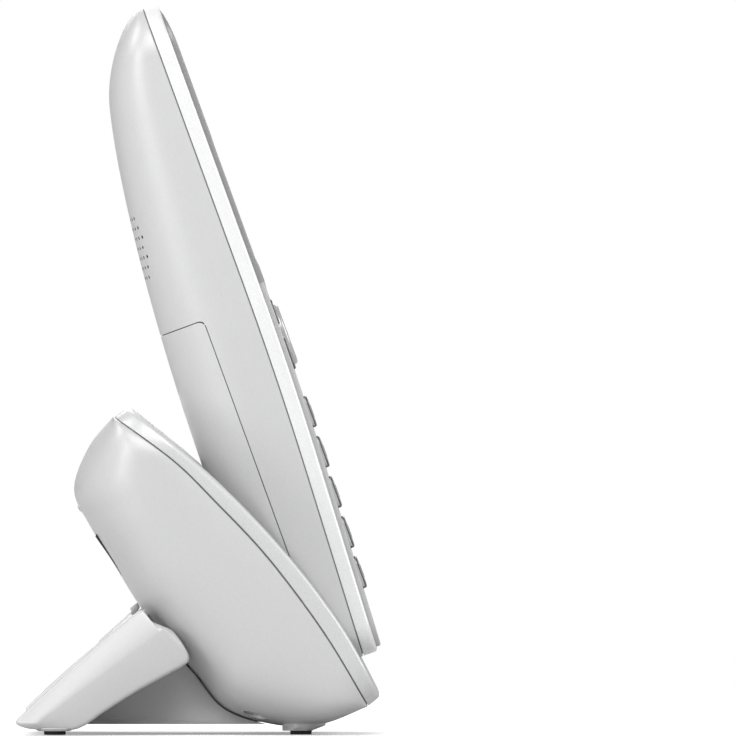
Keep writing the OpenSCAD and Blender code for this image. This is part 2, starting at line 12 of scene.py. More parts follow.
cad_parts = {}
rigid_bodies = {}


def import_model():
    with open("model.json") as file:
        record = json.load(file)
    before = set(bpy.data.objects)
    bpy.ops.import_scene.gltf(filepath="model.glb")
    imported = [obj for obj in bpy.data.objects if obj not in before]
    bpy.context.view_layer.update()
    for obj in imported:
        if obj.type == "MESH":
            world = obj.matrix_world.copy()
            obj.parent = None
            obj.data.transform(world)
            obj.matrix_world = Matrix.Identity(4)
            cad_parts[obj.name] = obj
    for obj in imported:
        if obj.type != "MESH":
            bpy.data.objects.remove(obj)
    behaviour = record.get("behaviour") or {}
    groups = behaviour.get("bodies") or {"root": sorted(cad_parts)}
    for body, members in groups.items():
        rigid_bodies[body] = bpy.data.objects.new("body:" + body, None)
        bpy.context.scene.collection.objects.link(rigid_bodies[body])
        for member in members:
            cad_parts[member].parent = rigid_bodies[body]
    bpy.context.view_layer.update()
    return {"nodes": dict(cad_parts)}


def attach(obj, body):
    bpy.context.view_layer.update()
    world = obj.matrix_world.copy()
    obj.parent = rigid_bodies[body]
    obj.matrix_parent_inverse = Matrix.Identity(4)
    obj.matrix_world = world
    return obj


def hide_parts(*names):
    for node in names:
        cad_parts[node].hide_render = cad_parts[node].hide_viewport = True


for leftover in list(bpy.data.objects):
    bpy.data.objects.remove(leftover)

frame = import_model()
CAD = frame["nodes"]
MM = 0.001

# ---------------------------------------------------------------- dimensions, in millimetres

HANDSET_LENGTH = 171.0
HANDSET_HALF = 24.0
HANDSET_BACK = 29.4
HANDSET_WALL = 1.7
DOCK_LEAN = radians(20)
DOCK_Y, DOCK_Z = -48.31, 21.99
TOP_CORNER, BOTTOM_CORNER, HEEL = 12.0, 8.0, 6.0
DOOR_SIDE, DOOR_TOP, DOOR_GAP = 16.5, 92.3, 0.11
SEAM_GAP = 0.14
PLATE_TOP, PLATE_LOW, PLATE_MARGIN = 169.0, 1.0, 3.4
PLATE_TOP_CORNER, PLATE_LOW_CORNER = 9, 7
KEY_W, KEY_H, KEY_R = 10.6, 8.2, 2.0
KEY_PITCH, KEY_COLUMN, KEY_GAP = 10.5, 12.8, 0.3
KEY_TOP_ROW = 61.9
NAV_Z, NAV_SIZE = 82.4, 16.4
SCREEN_Z, EARPIECE_Z, MIC_Z = 118.0, 150.0, 8.0
SPEAKER_Z = 114.6
SCREW_X, SCREW_Z = 16.5, 9.0
BASE_HALF, BASE_WALL, BASE_RUN = 50.0, 2.0, 96.0
SHOULDER, TOE = 14.0, 11.0
CRADLE_GAP, CRADLE_FLOOR = 0.6, -0.5
PAD = 0.9
LEG_OUT, LEG_WIDTH = 48.5, 10.0
BASE_SCREW = (35.0, -14.0)
BASE_SEAM_GAP = 0.36
FRONT_WALL, COVER_WALL = 1.6, 2.0
KEY_FIELD_TOP = 96.4
HOLE_PITCH, HOLE_ROW, HOLE_FIELD = 1.21, 2.5, 14.9
FRONT_FOOT_X, REAR_FOOT_X, WEB_X = 30, 43.5, 24
LAMP_X = 16
SHARP_ANGLE, EASED_ANGLE = 38.0, 28.0

# Side lines of the base as (y, z), from the top end down: its seam, its sloping face and its underside.
GROOVE = [(20.75, 79.05), (5.8, 68.1), (-4.65, 57.9), (-15.6, 46.4), (-25, 34.6), (-33.6, 22.2), (-42.4, 7.2)]
SLOPE = [(17.4, 81.4), (3.4, 70.2), (-8, 59.9), (-19.3, 48), (-29, 36.3), (-37.6, 23.9), (-45.28, 9.5)]
HULL = [(21.4, 79), (27.5, 71.5), (31.2, 61), (27.4, 52.2), (21.2, 42.3), (15.1, 32.4), (8.4, 23.8),
        (0.7, 14.7), (-6.8, 6.1), (-19.6, 2.1), (-31, 2.4), (-42.2, 6.9)]


# ---------------------------------------------------------------- curves and sections


def through(points, u):
    """Smooth curve through points, at u from 0 to 1."""
    p = np.asarray(points, float)
    last = len(p) - 1
    s = min(u * last, last - 1e-6)
    i = int(s)
    t = s - i
    a, b, c, d = p[max(i - 1, 0)], p[i], p[i + 1], p[min(i + 2, last)]
    return 0.5 * (2 * b + (c - a) * t + (2 * a - 5 * b + 4 * c - d) * t * t + (3 * b - a - 3 * c + d) * t**3)


def bezier(p, t):
    p = np.asarray(p, float)
    return (1 - t) ** 3 * p[0] + 3 * (1 - t) ** 2 * t * p[1] + 3 * (1 - t) * t * t * p[2] + t**3 * p[3]


def toward(a, b):
    v = np.asarray(b, float) - np.asarray(a, float)
    return v / max(np.hypot(*v), 1e-9)


def bow(z):
    """How far the handset's front curves back toward its lower end."""
    if z >= 98:
        return 0.0
    return (98 - z) ** 2 / 2040 if z >= 48 else 1.225 + 0.049 * (48 - z)


def seam(z):
    return 4.1 + bow(z)


def band(z):
    return 0.3 + bow(z)


def plate_face(z):
    """The faceplate's surface, dying away into the band at its rounded top."""
    return bow(z) - 0.85 + (1.1 * ((z - 159) / 10.5) ** 2 if z > 159 else 0.0)


def corner_cut(radius, distance):
    """How far a rounded corner cuts in, at a distance from its end."""
    return radius - sqrt(max(0.0, radius**2 - (radius - min(distance, radius)) ** 2))


def side(z):
    return HANDSET_HALF - corner_cut(TOP_CORNER, HANDSET_LENGTH - z) - corner_cut(BOTTOM_CORNER, z)


def arc(centre, radius, first, last, count):
    """Heights of points along an arc."""
    return [centre + radius * sin(a) for a in np.linspace(first, last, count)]


def tilted(turn, y, z):
    """The placing of a frame that is turned about the x axis and moved to (y, z)."""
    c, s = cos(turn), sin(turn)

    def place(points):
        p = np.asarray(points, float)
        return np.stack([p[:, 0], y + c * p[:, 1] - s * p[:, 2], z + s * p[:, 1] + c * p[:, 2]], 1)

    return place


# Handset frame: x, depth toward its back, height along its axis. Rear wall: x, outward, up along the wall.
# Shelf behind the handset: x, along the slope, out of it.
docked = tilted(-DOCK_LEAN, DOCK_Y, DOCK_Z)
at_rear_wall = tilted(radians(-35), 22.4, 44.5)
on_shelf = tilted(radians(39.5), *through(SLOPE, 0.075))


def as_is(points):
    return np.asarray(points, float)


def back_line():
    """The back's side profile as (z, depth), from the top down."""
    top = HANDSET_LENGTH
    crown = [(top, 4.1), (top - 0.2, 9.6), (top - 11.2, 18), (top - 20.4, 20.4)]
    spine = [(top - 20.4, 20.4), (top - 39.4, 25.3), (top - 80, HANDSET_BACK), (50, HANDSET_BACK)]
    line = [bezier(crown, t) for t in np.linspace(0.03, 1, 26)]
    line += [bezier(spine, t) for t in np.linspace(0.03, 1, 44)]
    line += [(z, HANDSET_BACK) for z in np.linspace(48, HEEL + 1.5, 20)]
    line += [(HEEL - HEEL * sin(a), HANDSET_BACK - HEEL + HEEL * cos(a))
             for a in np.linspace(0.05, pi / 2, 10)]
    return line


def soft_half(width, depth, power, rim, steps):
    """Half of a shell's section, rim to middle, as (x, depth): a soft D with a rounded rim."""
    rim = min(rim, 0.4 * depth)
    half = []
    for a in np.linspace(0, pi / 2, 5):
        h = rim * (1 - cos(a))
        x = width * (1 - (h / depth) ** power) ** (1 / power)
        half.append((x - rim * (1 - sin(a)), h))
    start = asin((rim / depth) ** (power / 2))
    for a in np.linspace(start, pi / 2, steps)[1:]:
        half.append((width * cos(a) ** (2 / power) if a < pi / 2 - 1e-9 else 0.0,
                     depth * sin(a) ** (2 / power)))
    return half


def square_half(width, depth, rim, corner, steps):
    """Half of a shallow shell's section: straight sides and a small rounded corner."""
    rim, corner = min(rim, 0.2 * depth), min(corner, 0.7 * depth)
    half = [(width - rim * (1 - sin(a)), rim * (1 - cos(a))) for a in np.linspace(0, pi / 2, 4)]
    half += [(width - corner * (1 - cos(a)), depth - corner * (1 - sin(a)))
             for a in np.linspace(0, pi / 2, 7)]
    half += [(x, depth) for x in np.linspace(width - corner, 0, steps)[1:]]
    return half


def both_sides(half):
    return half + [(-x, d) for x, d in half[-2::-1]]


def pill_ring(width, height, radius, per_corner=7):
    """Points round a rounded rectangle centred on the origin."""
    radius = min(radius, width / 2 - 1e-3, height / 2 - 1e-3)
    ring = []
    for cx, cy, a0 in ((1, 1, 0), (-1, 1, 90), (-1, -1, 180), (1, -1, 270)):
        for k in range(per_corner):
            a = radians(a0 + 90 * k / (per_corner - 1))
            ring.append((cx * (width / 2 - radius) + radius * cos(a),
                         cy * (height / 2 - radius) + radius * sin(a)))
    return ring


def circle(radius, count, x=0.0, y=0.0):
    """Points round a circle."""
    return [(x + radius * cos(a), y + radius * sin(a))
            for a in np.linspace(0, 2 * pi, count, endpoint=False)]


def moved(ring, x, y):
    return [(x + a, y + b) for a, b in ring]


def levels(ring, heights, axis):
    """A flat ring repeated at several heights along one axis."""
    return [[(*p[:axis], h, *p[axis:]) for p in ring] for h in heights]


# ---------------------------------------------------------------- mesh making


def new_mesh(name, points, faces=()):
    """A mesh from points in millimetres."""
    mesh = bpy.data.meshes.new(name)
    mesh.from_pydata([tuple(p) for p in np.asarray(points, float) * MM], [], faces)
    return mesh


def new_object(name, data):
    obj = bpy.data.objects.new(name, data)
    bpy.context.scene.collection.objects.link(obj)
    return obj


def make_piece(name, points, faces, material, sharp=SHARP_ANGLE):
    """A piece that is smooth except across real edges, and faces outward."""
    mesh = new_mesh(name, points, faces)
    bm = bmesh.new()
    bm.from_mesh(mesh)
    bmesh.ops.remove_doubles(bm, verts=bm.verts, dist=1e-7)
    bmesh.ops.recalc_face_normals(bm, faces=bm.faces)
    bm.to_mesh(mesh)
    bm.free()
    obj = new_object(name, mesh)
    mesh.materials.append(material)
    shade(obj, sharp)
    return obj


def shade(obj, sharp=SHARP_ANGLE):
    obj.data.shade_smooth()
    obj.data.set_sharp_from_angle(angle=radians(sharp))


def tray_faces(n, m):
    """Faces of a walled shell: n rows of m outside points, then n rows of m inside points."""
    q, z = n * m, (n - 1) * m
    faces = []
    for i in range(n - 1):
        for k in range(m - 1):
            a, b = i * m + k, (i + 1) * m + k
            faces += [(a, a + 1, b + 1, b), (q + a, q + b, q + b + 1, q + a + 1)]
        a, b, c, d = i * m, (i + 1) * m, i * m + m - 1, (i + 2) * m - 1
        faces += [(a, b, q + b, q + a), (c, q + c, q + d, d)]
    for s, turn in ((0, 1), (z, -1)):
        faces += [tuple(range(s + m - 1, s - 1, -1))[::turn], tuple(range(q + s, q + s + m))[::turn],
                  (s, q + s, q + s + m - 1, s + m - 1)[::turn]]
    return faces


def make_tray(name, outside, inside, place, material):
    n, m = len(outside), len(outside[0])
    points = place(np.concatenate([np.asarray(outside).reshape(-1, 3), np.asarray(inside).reshape(-1, 3)]))
    return make_piece(name, points, tray_faces(n, m), material)


def make_stack(name, rings, place, material, sharp=SHARP_ANGLE):
    """A closed solid skinned over rings of points."""
    n, m = len(rings), len(rings[0])
    points = place(np.asarray(rings, float).reshape(-1, 3))
    faces = [(i * m + k, i * m + (k + 1) % m, (i + 1) * m + (k + 1) % m, (i + 1) * m + k)
             for i in range(n - 1) for k in range(m)]
    faces += [tuple(range(m))[::-1], tuple(range((n - 1) * m, n * m))]
    return make_piece(name, points, faces, material, sharp)


def pill_stack(name, size, corner, profile, middle, axis, place, material, per_corner=8):
    """A piece skinned over rounded rectangles. Each step of its profile is (inward, level). Its corner is given
    as a radius, how much of the inward distance comes off that, and the least it may be."""
    radius, loss, least = corner
    rings = []
    for inward, level in profile:
        ring = pill_ring(size[0] - 2 * inward, size[1] - 2 * inward, max(radius - inward * loss, least), per_corner)
        rings += levels(moved(ring, *middle), (level,), axis)
    return make_stack(name, rings, place, material)


def make_slab(name, outline, x0, x1, material, ease):
    """A plate cut to a side outline of (y, z) points, with eased edges."""
    m = len(outline)
    points = [(x, y, z) for x in (x0, x1) for y, z in outline]
    faces = [tuple(range(m)), tuple(range(m, 2 * m))[::-1]]
    faces += [(k, m + k, m + (k + 1) % m, (k + 1) % m) for k in range(m)]
    obj = make_piece(name, points, faces, material)
    ease_edges(obj, ease)
    return obj


def ease_edges(obj, width):
    bm = bmesh.new()
    bm.from_mesh(obj.data)
    edges = [e for e in bm.edges if len(e.link_faces) == 2 and e.calc_face_angle(0) > radians(EASED_ANGLE)]
    bmesh.ops.bevel(bm, geom=edges, offset=width * MM, segments=2, profile=0.5, affect="EDGES", clamp_overlap=True)
    bm.to_mesh(obj.data)
    bm.free()
    shade(obj)


def settle(obj):
    """Applies a piece's modifiers to its mesh."""
    graph = bpy.context.evaluated_depsgraph_get()
    mesh = bpy.data.meshes.new_from_object(obj.evaluated_get(graph))
    obj.modifiers.clear()
    obj.data = mesh
    return obj


def carve(obj, cutter, operation="DIFFERENCE"):
    modifier = obj.modifiers.new("carve", "BOOLEAN")
    modifier.operation, modifier.solver, modifier.object = operation, "EXACT", cutter
    modifier.material_mode = "TRANSFER"
    settle(obj)
    bpy.data.objects.remove(cutter)
    return obj


def join(name, parts):
    """Several meshes as one object, without merging them."""
    bm = bmesh.new()
    for p in parts:
        bm.from_mesh(p.data)
    mesh = bpy.data.meshes.new(name)
    bm.to_mesh(mesh)
    bm.free()
    obj = new_object(name, mesh)
    for material in parts[0].data.materials:
        mesh.materials.append(material)
    for p in parts:
        bpy.data.objects.remove(p)
    shade(obj)
    return obj


def front_prism(name, width, height, radius, z, y0, y1):
    """A straight prism through the handset's front, for cutting."""
    return make_stack(name, levels(moved(pill_ring(width, height, radius), 0, z), (y0, y1), 1), docked, BAND)


# ---------------------------------------------------------------- materials


def shader_group(name, inputs, outputs):
    """A new shader node group with named sockets, and its nodes for wiring."""
    tree = bpy.data.node_groups.new(name, "ShaderNodeTree")
    for label, kind, value in inputs:
        socket = tree.interface.new_socket(label, in_out="INPUT", socket_type=kind)
        socket.default_value = value
    for label, kind in outputs:
        tree.interface.new_socket(label, in_out="OUTPUT", socket_type=kind)
    return tree, tree.nodes.new("NodeGroupInput"), tree.nodes.new("NodeGroupOutput")


def feed(tree, node, inputs):
    """Gives a node's inputs plain values, or links them from other nodes' outputs."""
    for label, value in inputs.items():
        if isinstance(value, bpy.types.NodeSocket):
            tree.links.new(value, node.inputs[label])
        else:
            node.inputs[label].default_value = value
    return node


def add_node(tree, kind, inputs, **settings):
    node = tree.nodes.new(kind)
    for key, value in settings.items():
        setattr(node, key, value)
    return feed(tree, node, inputs)


def object_space(tree):
    return tree.nodes.new("ShaderNodeTexCoord").outputs["Object"]


def noise(tree, scale, detail, roughness=0.5):
    return add_node(tree, "ShaderNodeTexNoise", {"Vector": object_space(tree), "Scale": scale, "Detail": detail,
                                                 "Roughness": roughness}).outputs["Fac"]


def arithmetic(tree, operation, *values):
    return add_node(tree, "ShaderNodeMath", dict(enumerate(values)), operation=operation).outputs[0]


def vary(tree, pattern, amount, base):
    """The base raised and lowered by a pattern that runs from 0 to 1."""
    return arithmetic(tree, "MULTIPLY_ADD", arithmetic(tree, "SUBTRACT", pattern, 0.5), amount, base)


def grey_level(tree, level):
    return add_node(tree, "ShaderNodeCombineColor", {0: level, 1: level, 2: level}).outputs[0]


def tint_by(tree, colour, level):
    """A colour multiplied by a grey level."""
    return add_node(tree, "ShaderNodeMix", {0: 1.0, 6: colour, 7: grey_level(tree, level)}, data_type="RGBA",
                    blend_type="MULTIPLY").outputs[2]


def remap(tree, value, low, high, to_low=0.0, to_high=1.0):
    return add_node(tree, "ShaderNodeMapRange", {"Value": value, "From Min": low, "From Max": high, "To Min": to_low,
                                                 "To Max": to_high}).outputs["Result"]


def build_moulded_surface():
    """Fine mould grain, slow tone drift and faint handling marks, for every moulded part."""
    tree, gin, gout = shader_group(
        "moulded_surface",
        [("Colour", "NodeSocketColor", (0.8, 0.8, 0.8, 1)), ("Grain Size", "NodeSocketFloat", 4200.0),
         ("Tone Drift", "NodeSocketFloat", 0.03), ("Roughness", "NodeSocketFloat", 0.4),
         ("Handling", "NodeSocketFloat", 0.06)],
        [("Colour", "NodeSocketColor"), ("Roughness", "NodeSocketFloat"), ("Height", "NodeSocketFloat")])
    drift = noise(tree, 28.0, 2.0)
    grain = noise(tree, gin.outputs["Grain Size"], 2.0, 0.6)
    marks = remap(tree, noise(tree, 120.0, 6.0, 0.65), 0.5, 0.75)
    tone = vary(tree, grain, 0.05, vary(tree, drift, gin.outputs["Tone Drift"], 1.0))
    rough = arithmetic(tree, "MULTIPLY_ADD", marks, gin.outputs["Handling"], gin.outputs["Roughness"])
    feed(tree, gout, {"Colour": tint_by(tree, gin.outputs["Colour"], tone),
                      "Roughness": vary(tree, grain, 0.08, rough), "Height": grain})
    return tree


def build_metal_flake():
    """Tiny bright platelets under a silver lacquer."""
    tree, gin, gout = shader_group(
        "metal_flake",
        [("Colour", "NodeSocketColor", (0.8, 0.8, 0.8, 1)), ("Flake Size", "NodeSocketFloat", 5200.0),
         ("Sparkle", "NodeSocketFloat", 0.12)],
        [("Colour", "NodeSocketColor"), ("Flake", "NodeSocketFloat")])
    cells = add_node(tree, "ShaderNodeTexVoronoi", {"Vector": object_space(tree), "Scale": gin.outputs["Flake Size"]})
    pick = add_node(tree, "ShaderNodeSeparateColor", {0: cells.outputs["Color"]})
    flake = remap(tree, pick.outputs[0], 0.0, 1.0)
    lift = vary(tree, flake, gin.outputs["Sparkle"], 1.0)
    feed(tree, gout, {"Colour": tint_by(tree, gin.outputs["Colour"], lift), "Flake": flake})
    return tree


MOULDED = build_moulded_surface()
FLAKE = build_metal_flake()


def finish_material(name, colour, roughness, grain=4200.0, drift=0.03, handling=0.06, bump=0.02, flake=0.0,
                    metallic=0.0, coat=0.0, coat_roughness=0.15, transmission=0.0, ior=1.5, subsurface=0.0):
    """A moulded or painted finish: shared surface groups feeding one Principled shader."""
    material = bpy.data.materials.new(name)
    material.use_nodes = True
    tree = material.node_tree
    surface = add_node(tree, "ShaderNodeGroup", {"Colour": (*colour, 1), "Grain Size": grain, "Tone Drift": drift,
                                                 "Roughness": roughness, "Handling": handling},
                       node_tree=MOULDED).outputs
    tint = surface["Colour"]
    if flake:
        sparkle = add_node(tree, "ShaderNodeGroup", {"Colour": tint, "Sparkle": flake}, node_tree=FLAKE)
        tint = sparkle.outputs["Colour"]
    bumps = add_node(tree, "ShaderNodeBump", {"Strength": bump, "Distance": 0.00005, "Height": surface["Height"]})
    shader = feed(tree, tree.nodes["Principled BSDF"], {
        "Base Color": tint, "Roughness": surface["Roughness"], "Normal": bumps.outputs["Normal"],
        "Metallic": metallic, "Coat Weight": coat, "Coat Roughness": coat_roughness,
        "Transmission Weight": transmission, "IOR": ior})
    if subsurface:
        feed(tree, shader, {"Subsurface Weight": subsurface, "Subsurface Radius": (0.001, 0.001, 0.001)})
    material.diffuse_color = (*colour, 1)
    return material


SHELL = finish_material("silver_grey_shell", (0.58, 0.58, 0.582), 0.4, flake=0.06, metallic=0.12, coat=0.15,
                        coat_roughness=0.3)
BAND = finish_material("bright_silver_band", (0.84, 0.842, 0.845), 0.34, flake=0.1, metallic=0.2, coat=0.25,
                       coat_roughness=0.22)
COVER = finish_material("satin_silver_cover", (0.64, 0.642, 0.645), 0.38, flake=0.12, metallic=0.25, coat=0.2,
                        coat_roughness=0.25)
PLATE = finish_material("grey_faceplate", (0.3, 0.3, 0.303), 0.36, flake=0.05, metallic=0.15)
KEY_FIELD = finish_material("pale_keypad_field", (0.5, 0.5, 0.505), 0.36, flake=0.08, metallic=0.15)
KEYCAP = finish_material("pale_key_caps", (0.55, 0.552, 0.56), 0.3, coat=0.4, coat_roughness=0.2, subsurface=0.1)
# Painted shade: a near-black finish for the edges of the key caps, standing in for the shade round each key.
KEY_EDGE_SHADE = finish_material("painted_shade_key_edge", (0.07, 0.071, 0.074), 0.3, coat=0.3)
# Painted shade: a dark grey for the lips behind the seams and the battery door's gap, standing in for the shade in
# those gaps.
SHADE_LIP = finish_material("painted_shade_seam_lip", (0.22, 0.22, 0.224), 0.5)
NAV = finish_material("bright_nav_ring", (0.55, 0.552, 0.56), 0.28, metallic=0.35, bump=0.0, coat=0.3)
INK = finish_material("key_ink", (0.03, 0.032, 0.036), 0.5)
GREEN_INK = finish_material("talk_ink", (0.03, 0.25, 0.07), 0.45)
RED_INK = finish_material("off_ink", (0.4, 0.02, 0.02), 0.45)
WINDOW = finish_material("smoked_window", (0.42, 0.45, 0.44), 0.06, transmission=0.85, bump=0.0,
                         handling=0.03, ior=1.49)
SCREEN = finish_material("display_glass", (0.34, 0.4, 0.3), 0.25, drift=0.06)
BLACK = finish_material("black_moulding", (0.02, 0.02, 0.022), 0.45)
# Painted shade: near black for the walls of the speaker bores, standing in for the shade inside them.
CAVITY_SHADE = finish_material("painted_shade_inside", (0.008, 0.008, 0.009), 0.8)
BOARD = finish_material("board_green", (0.02, 0.14, 0.06), 0.35, drift=0.12)
SILICONE = finish_material("grey_silicone", (0.26, 0.265, 0.28), 0.6, subsurface=0.15)
WRAP = finish_material("battery_wrap", (0.06, 0.065, 0.07), 0.25, coat=0.5)
NICKEL = finish_material("nickel_spring", (0.7, 0.67, 0.6), 0.28, metallic=1.0, grain=3000, handling=0.15)
STEEL = finish_material("plated_screw", (0.45, 0.45, 0.46), 0.32, metallic=1.0, handling=0.2)
RUBBER = finish_material("black_rubber_pad", (0.012, 0.012, 0.013), 0.75, grain=2600, bump=0.12, handling=0.1)
LAMP = finish_material("red_lamp", (0.45, 0.02, 0.02), 0.12, transmission=0.3, coat=0.6, bump=0.0)


# ---------------------------------------------------------------- repeated things, made with Geometry Nodes


def copies_tree(name, own_inputs, kind, wiring, result, scaled_by=None):
    """A copy of one thing on every point, turned, made real and given its finish."""
    tree = bpy.data.node_groups.new(name, "GeometryNodeTree")
    for label, sort in (("Points", "Geometry"), *own_inputs, ("Turn", "Rotation"), ("Finish", "Material")):
        tree.interface.new_socket(label, in_out="INPUT", socket_type="NodeSocket" + sort)
    tree.interface.new_socket("Result", in_out="OUTPUT", socket_type="NodeSocketGeometry")
    given = tree.nodes.new("NodeGroupInput").outputs
    thing = add_node(tree, kind, {to: given[v] if isinstance(v, str) else v for to, v in wiring.items()})
    copies = add_node(tree, "GeometryNodeInstanceOnPoints",
                      {"Points": given["Points"], "Instance": thing.outputs[result], "Rotation": given["Turn"]})
    if scaled_by:
        feed(tree, copies, {"Scale": given[scaled_by]})
    real = add_node(tree, "GeometryNodeRealizeInstances", {"Geometry": copies.outputs["Instances"]})
    finish = add_node(tree, "GeometryNodeSetMaterial",
                      {"Geometry": real.outputs["Geometry"], "Material": given["Finish"]})
    feed(tree, tree.nodes.new("NodeGroupOutput"), {"Result": finish.outputs["Geometry"]})
    return tree


def repeat(name, tree, points, **values):
    """Runs a repeat tree on points in millimetres and keeps the plain mesh."""
    obj = new_object(name, new_mesh(name, points))
    modifier = obj.modifiers.new("repeat", "NODES")
    modifier.node_group = tree
    for item in tree.interface.items_tree:
        if item.in_out == "INPUT" and item.name in values:
            modifier[item.identifier] = values[item.name]
    return settle(obj)


# ---------------------------------------------------------------- handset


def inset(z, by):
    half = HANDSET_LENGTH / 2
    return half + (z - half) * (half - by) / half


def make_rear_shell():
    outside, inside = [], []
    for z, high in back_line():
        low = seam(z) + SEAM_GAP
        depth = max(high - low, 0.25)
        ring = both_sides(soft_half(side(z), depth, 2.8, 0.28, 26))
        outside.append([(x, low + d, z) for x, d in ring])
        zi = inset(z, HANDSET_WALL)
        low_in = seam(zi) + SEAM_GAP
        ring = both_sides(soft_half(side(z) - HANDSET_WALL, max(high - HANDSET_WALL - low_in, 0.15), 2.8, 0.02, 26))
        inside.append([(x, low_in + d, zi) for x, d in ring])
    return make_tray("handset_rear_shell_skin", outside, inside, docked, SHELL)


def door_prism(name, grow):
    """Everything behind the battery door's edge line, grown or shrunk by a hair."""
    y, top, r = DOOR_SIDE - grow, DOOR_TOP + grow, 1.6
    outline = [(y, -4), (y, top - r)]
    outline += [(y + r - r * cos(a), top - r + r * sin(a)) for a in np.linspace(0.15, pi / 2, 7)]
    outline += [(36, top), (36, -4)]
    return make_stack(name, levels(outline, (-30, 30), 0), docked, SHELL)


rear_shell = make_rear_shell()
battery_door = rear_shell.copy()
battery_door.data = rear_shell.data.copy()
battery_door.name = "battery_door_skin"
bpy.context.scene.collection.objects.link(battery_door)
carve(rear_shell, door_prism("door_opening", DOOR_GAP))
carve(battery_door, door_prism("door_blank", -DOOR_GAP), "INTERSECT")

BORE_TREE = copies_tree("round_bores", (("Radius", "Float"), ("Length", "Float")), "GeometryNodeMeshCylinder",
                        {"Vertices": 14, "Radius": "Radius", "Depth": "Length"}, "Mesh")
toward_back = Matrix.Rotation(-DOCK_LEAN - pi / 2, 3, "X").to_euler()
holes = [(c * HOLE_PITCH, 25.5, SPEAKER_Z + r * HOLE_ROW) for r in range(-3, 4) for c in range(-12, 13)
         if (c + r) % 2 and hypot(c * HOLE_PITCH, r * HOLE_ROW) < HOLE_FIELD]
# The bores' walls take the near-black finish: painted shade inside the speaker holes.
perforations = repeat("speaker_bores", BORE_TREE, docked(holes), Radius=0.00042, Length=0.017, Turn=toward_back,
                      Finish=CAVITY_SHADE)
carve(rear_shell, perforations)
shade(rear_shell)
shade(battery_door)


def make_front_shell():
    top, quarter = HANDSET_LENGTH, pi / 2
    zs = arc(top - 0.75, 0.75, quarter, 0, 6) + arc(top - TOP_CORNER, TOP_CORNER, 1.1, 0, 12)
    zs += list(np.linspace(156, 12, 60))
    zs += arc(BOTTOM_CORNER, -BOTTOM_CORNER, 0, 1.2, 10) + arc(1.0, -1.0, 0.5, quarter, 6)
    zs = sorted(set(round(z, 4) for z in zs), reverse=True)
    outside, inside = [], []
    for z in zs:
        ease = corner_cut(0.7, min(top - z, z))
        low = seam(z) - SEAM_GAP
        ring = both_sides(square_half(side(z), low - band(z) - ease, 0.25, 1.05, 14))
        outside.append([(x, low - d, z) for x, d in ring])
        zi = inset(z, FRONT_WALL)
        low_in = seam(zi) - SEAM_GAP
        ring = both_sides(square_half(side(z) - FRONT_WALL, low_in - band(zi) - FRONT_WALL, 0.02, 0.8, 14))
        inside.append([(x, low_in - d, zi) for x, d in ring])
    shell = make_tray("handset_front_shell_skin", outside, inside, docked, BAND)
    carve(shell, front_prism("screen_opening", 33, 27, 2, SCREEN_Z, -2, 8))
    carve(shell, front_prism("keypad_opening", 39.2, 78.6, 3, 53.4, -3, 9))
    carve(shell, front_prism("earpiece_opening", 14, 6, 2.9, EARPIECE_Z, -2, 8))
    carve(shell, front_prism("microphone_bore", 1.4, 1.4, 0.69, MIC_Z, -2, 10))
    shade(shell)
    return shell


front_shell = make_front_shell()


def make_hoop(name, sizes, right_side, place):
    """A thin lip inside a seam, dark grey as painted shade in the seam's gap: its four edge loops, each with a distance
    inward and a lift across the seam.
    """
    loops = []
    for inward, lift in sizes:
        right = right_side(inward, lift)
        loops.append(right + [(-x, y, z) for x, y, z in right[::-1]])
    n = len(loops[0])
    faces = [(a * n + k, a * n + (k + 1) % n, (a + 1) % 4 * n + (k + 1) % n, (a + 1) % 4 * n + k)
             for a in range(4) for k in range(n)]
    return make_piece(name, place(np.array(loops).reshape(-1, 3)), faces, SHADE_LIP)


def handset_seam_side(inward, lift):
    zs = arc(HANDSET_LENGTH - TOP_CORNER, TOP_CORNER, pi / 2, 0, 12) + list(np.linspace(150, 10, 40))
    zs += arc(BOTTOM_CORNER, -BOTTOM_CORNER, 0, 1.5, 10)
    return [(side(z) - inward, seam(z) + lift, inset(z, inward)) for z in zs]


# Painted shade: the dark lip behind the handset's seam makes the seam read as a shaded line.
seam_lip = make_hoop("handset_seam_lip", ((0.6, -0.9), (0.6, 0.9), (1.3, 0.9), (1.3, -0.9)), handset_seam_side,
                     docked)


def in_dock(line):
    return [tuple(p[1:]) for p in docked([(0, y, z) for y, z in line])]


# Painted shade: dark slabs behind the battery door's edge make its gap read dark.
DOOR_LIPS = ((-21.4, -19.8, 15.6, 17.4, 8, 91), (19.8, 21.4, 15.6, 17.4, 8, 91), (-10, 10, 15.8, 26.5, 91.5, 93.1),
             (-7, 7, 26.4, 27.55, 91.9, 92.7))
door_lips = join("battery_door_lips", [
    make_slab("lip", in_dock(((a, low), (b, low), (b, high), (a, high))), x0, x1, SHADE_LIP, 0.1)
    for x0, x1, a, b, low, high in DOOR_LIPS])


def plate_side(z):
    return (HANDSET_HALF - PLATE_MARGIN - corner_cut(PLATE_TOP_CORNER, PLATE_TOP - z)
            - corner_cut(PLATE_LOW_CORNER, z - PLATE_LOW))


def plate_outline(inward):
    """The faceplate's edge in front view, moved inward."""
    high, low = PLATE_TOP - PLATE_TOP_CORNER, PLATE_LOW + PLATE_LOW_CORNER
    zs = arc(high, PLATE_TOP_CORNER, pi / 2, 0.1, 12) + list(np.linspace(high, low, 70))
    zs += arc(low, -PLATE_LOW_CORNER, 0.1, pi / 2, 12)
    middle = (PLATE_TOP + PLATE_LOW) / 2
    k = 1 - inward / (PLATE_TOP - middle)
    right = [(plate_side(z) - inward, middle + (z - middle) * k) for z in zs]
    return right + [(-x, z) for x, z in right[::-1]]


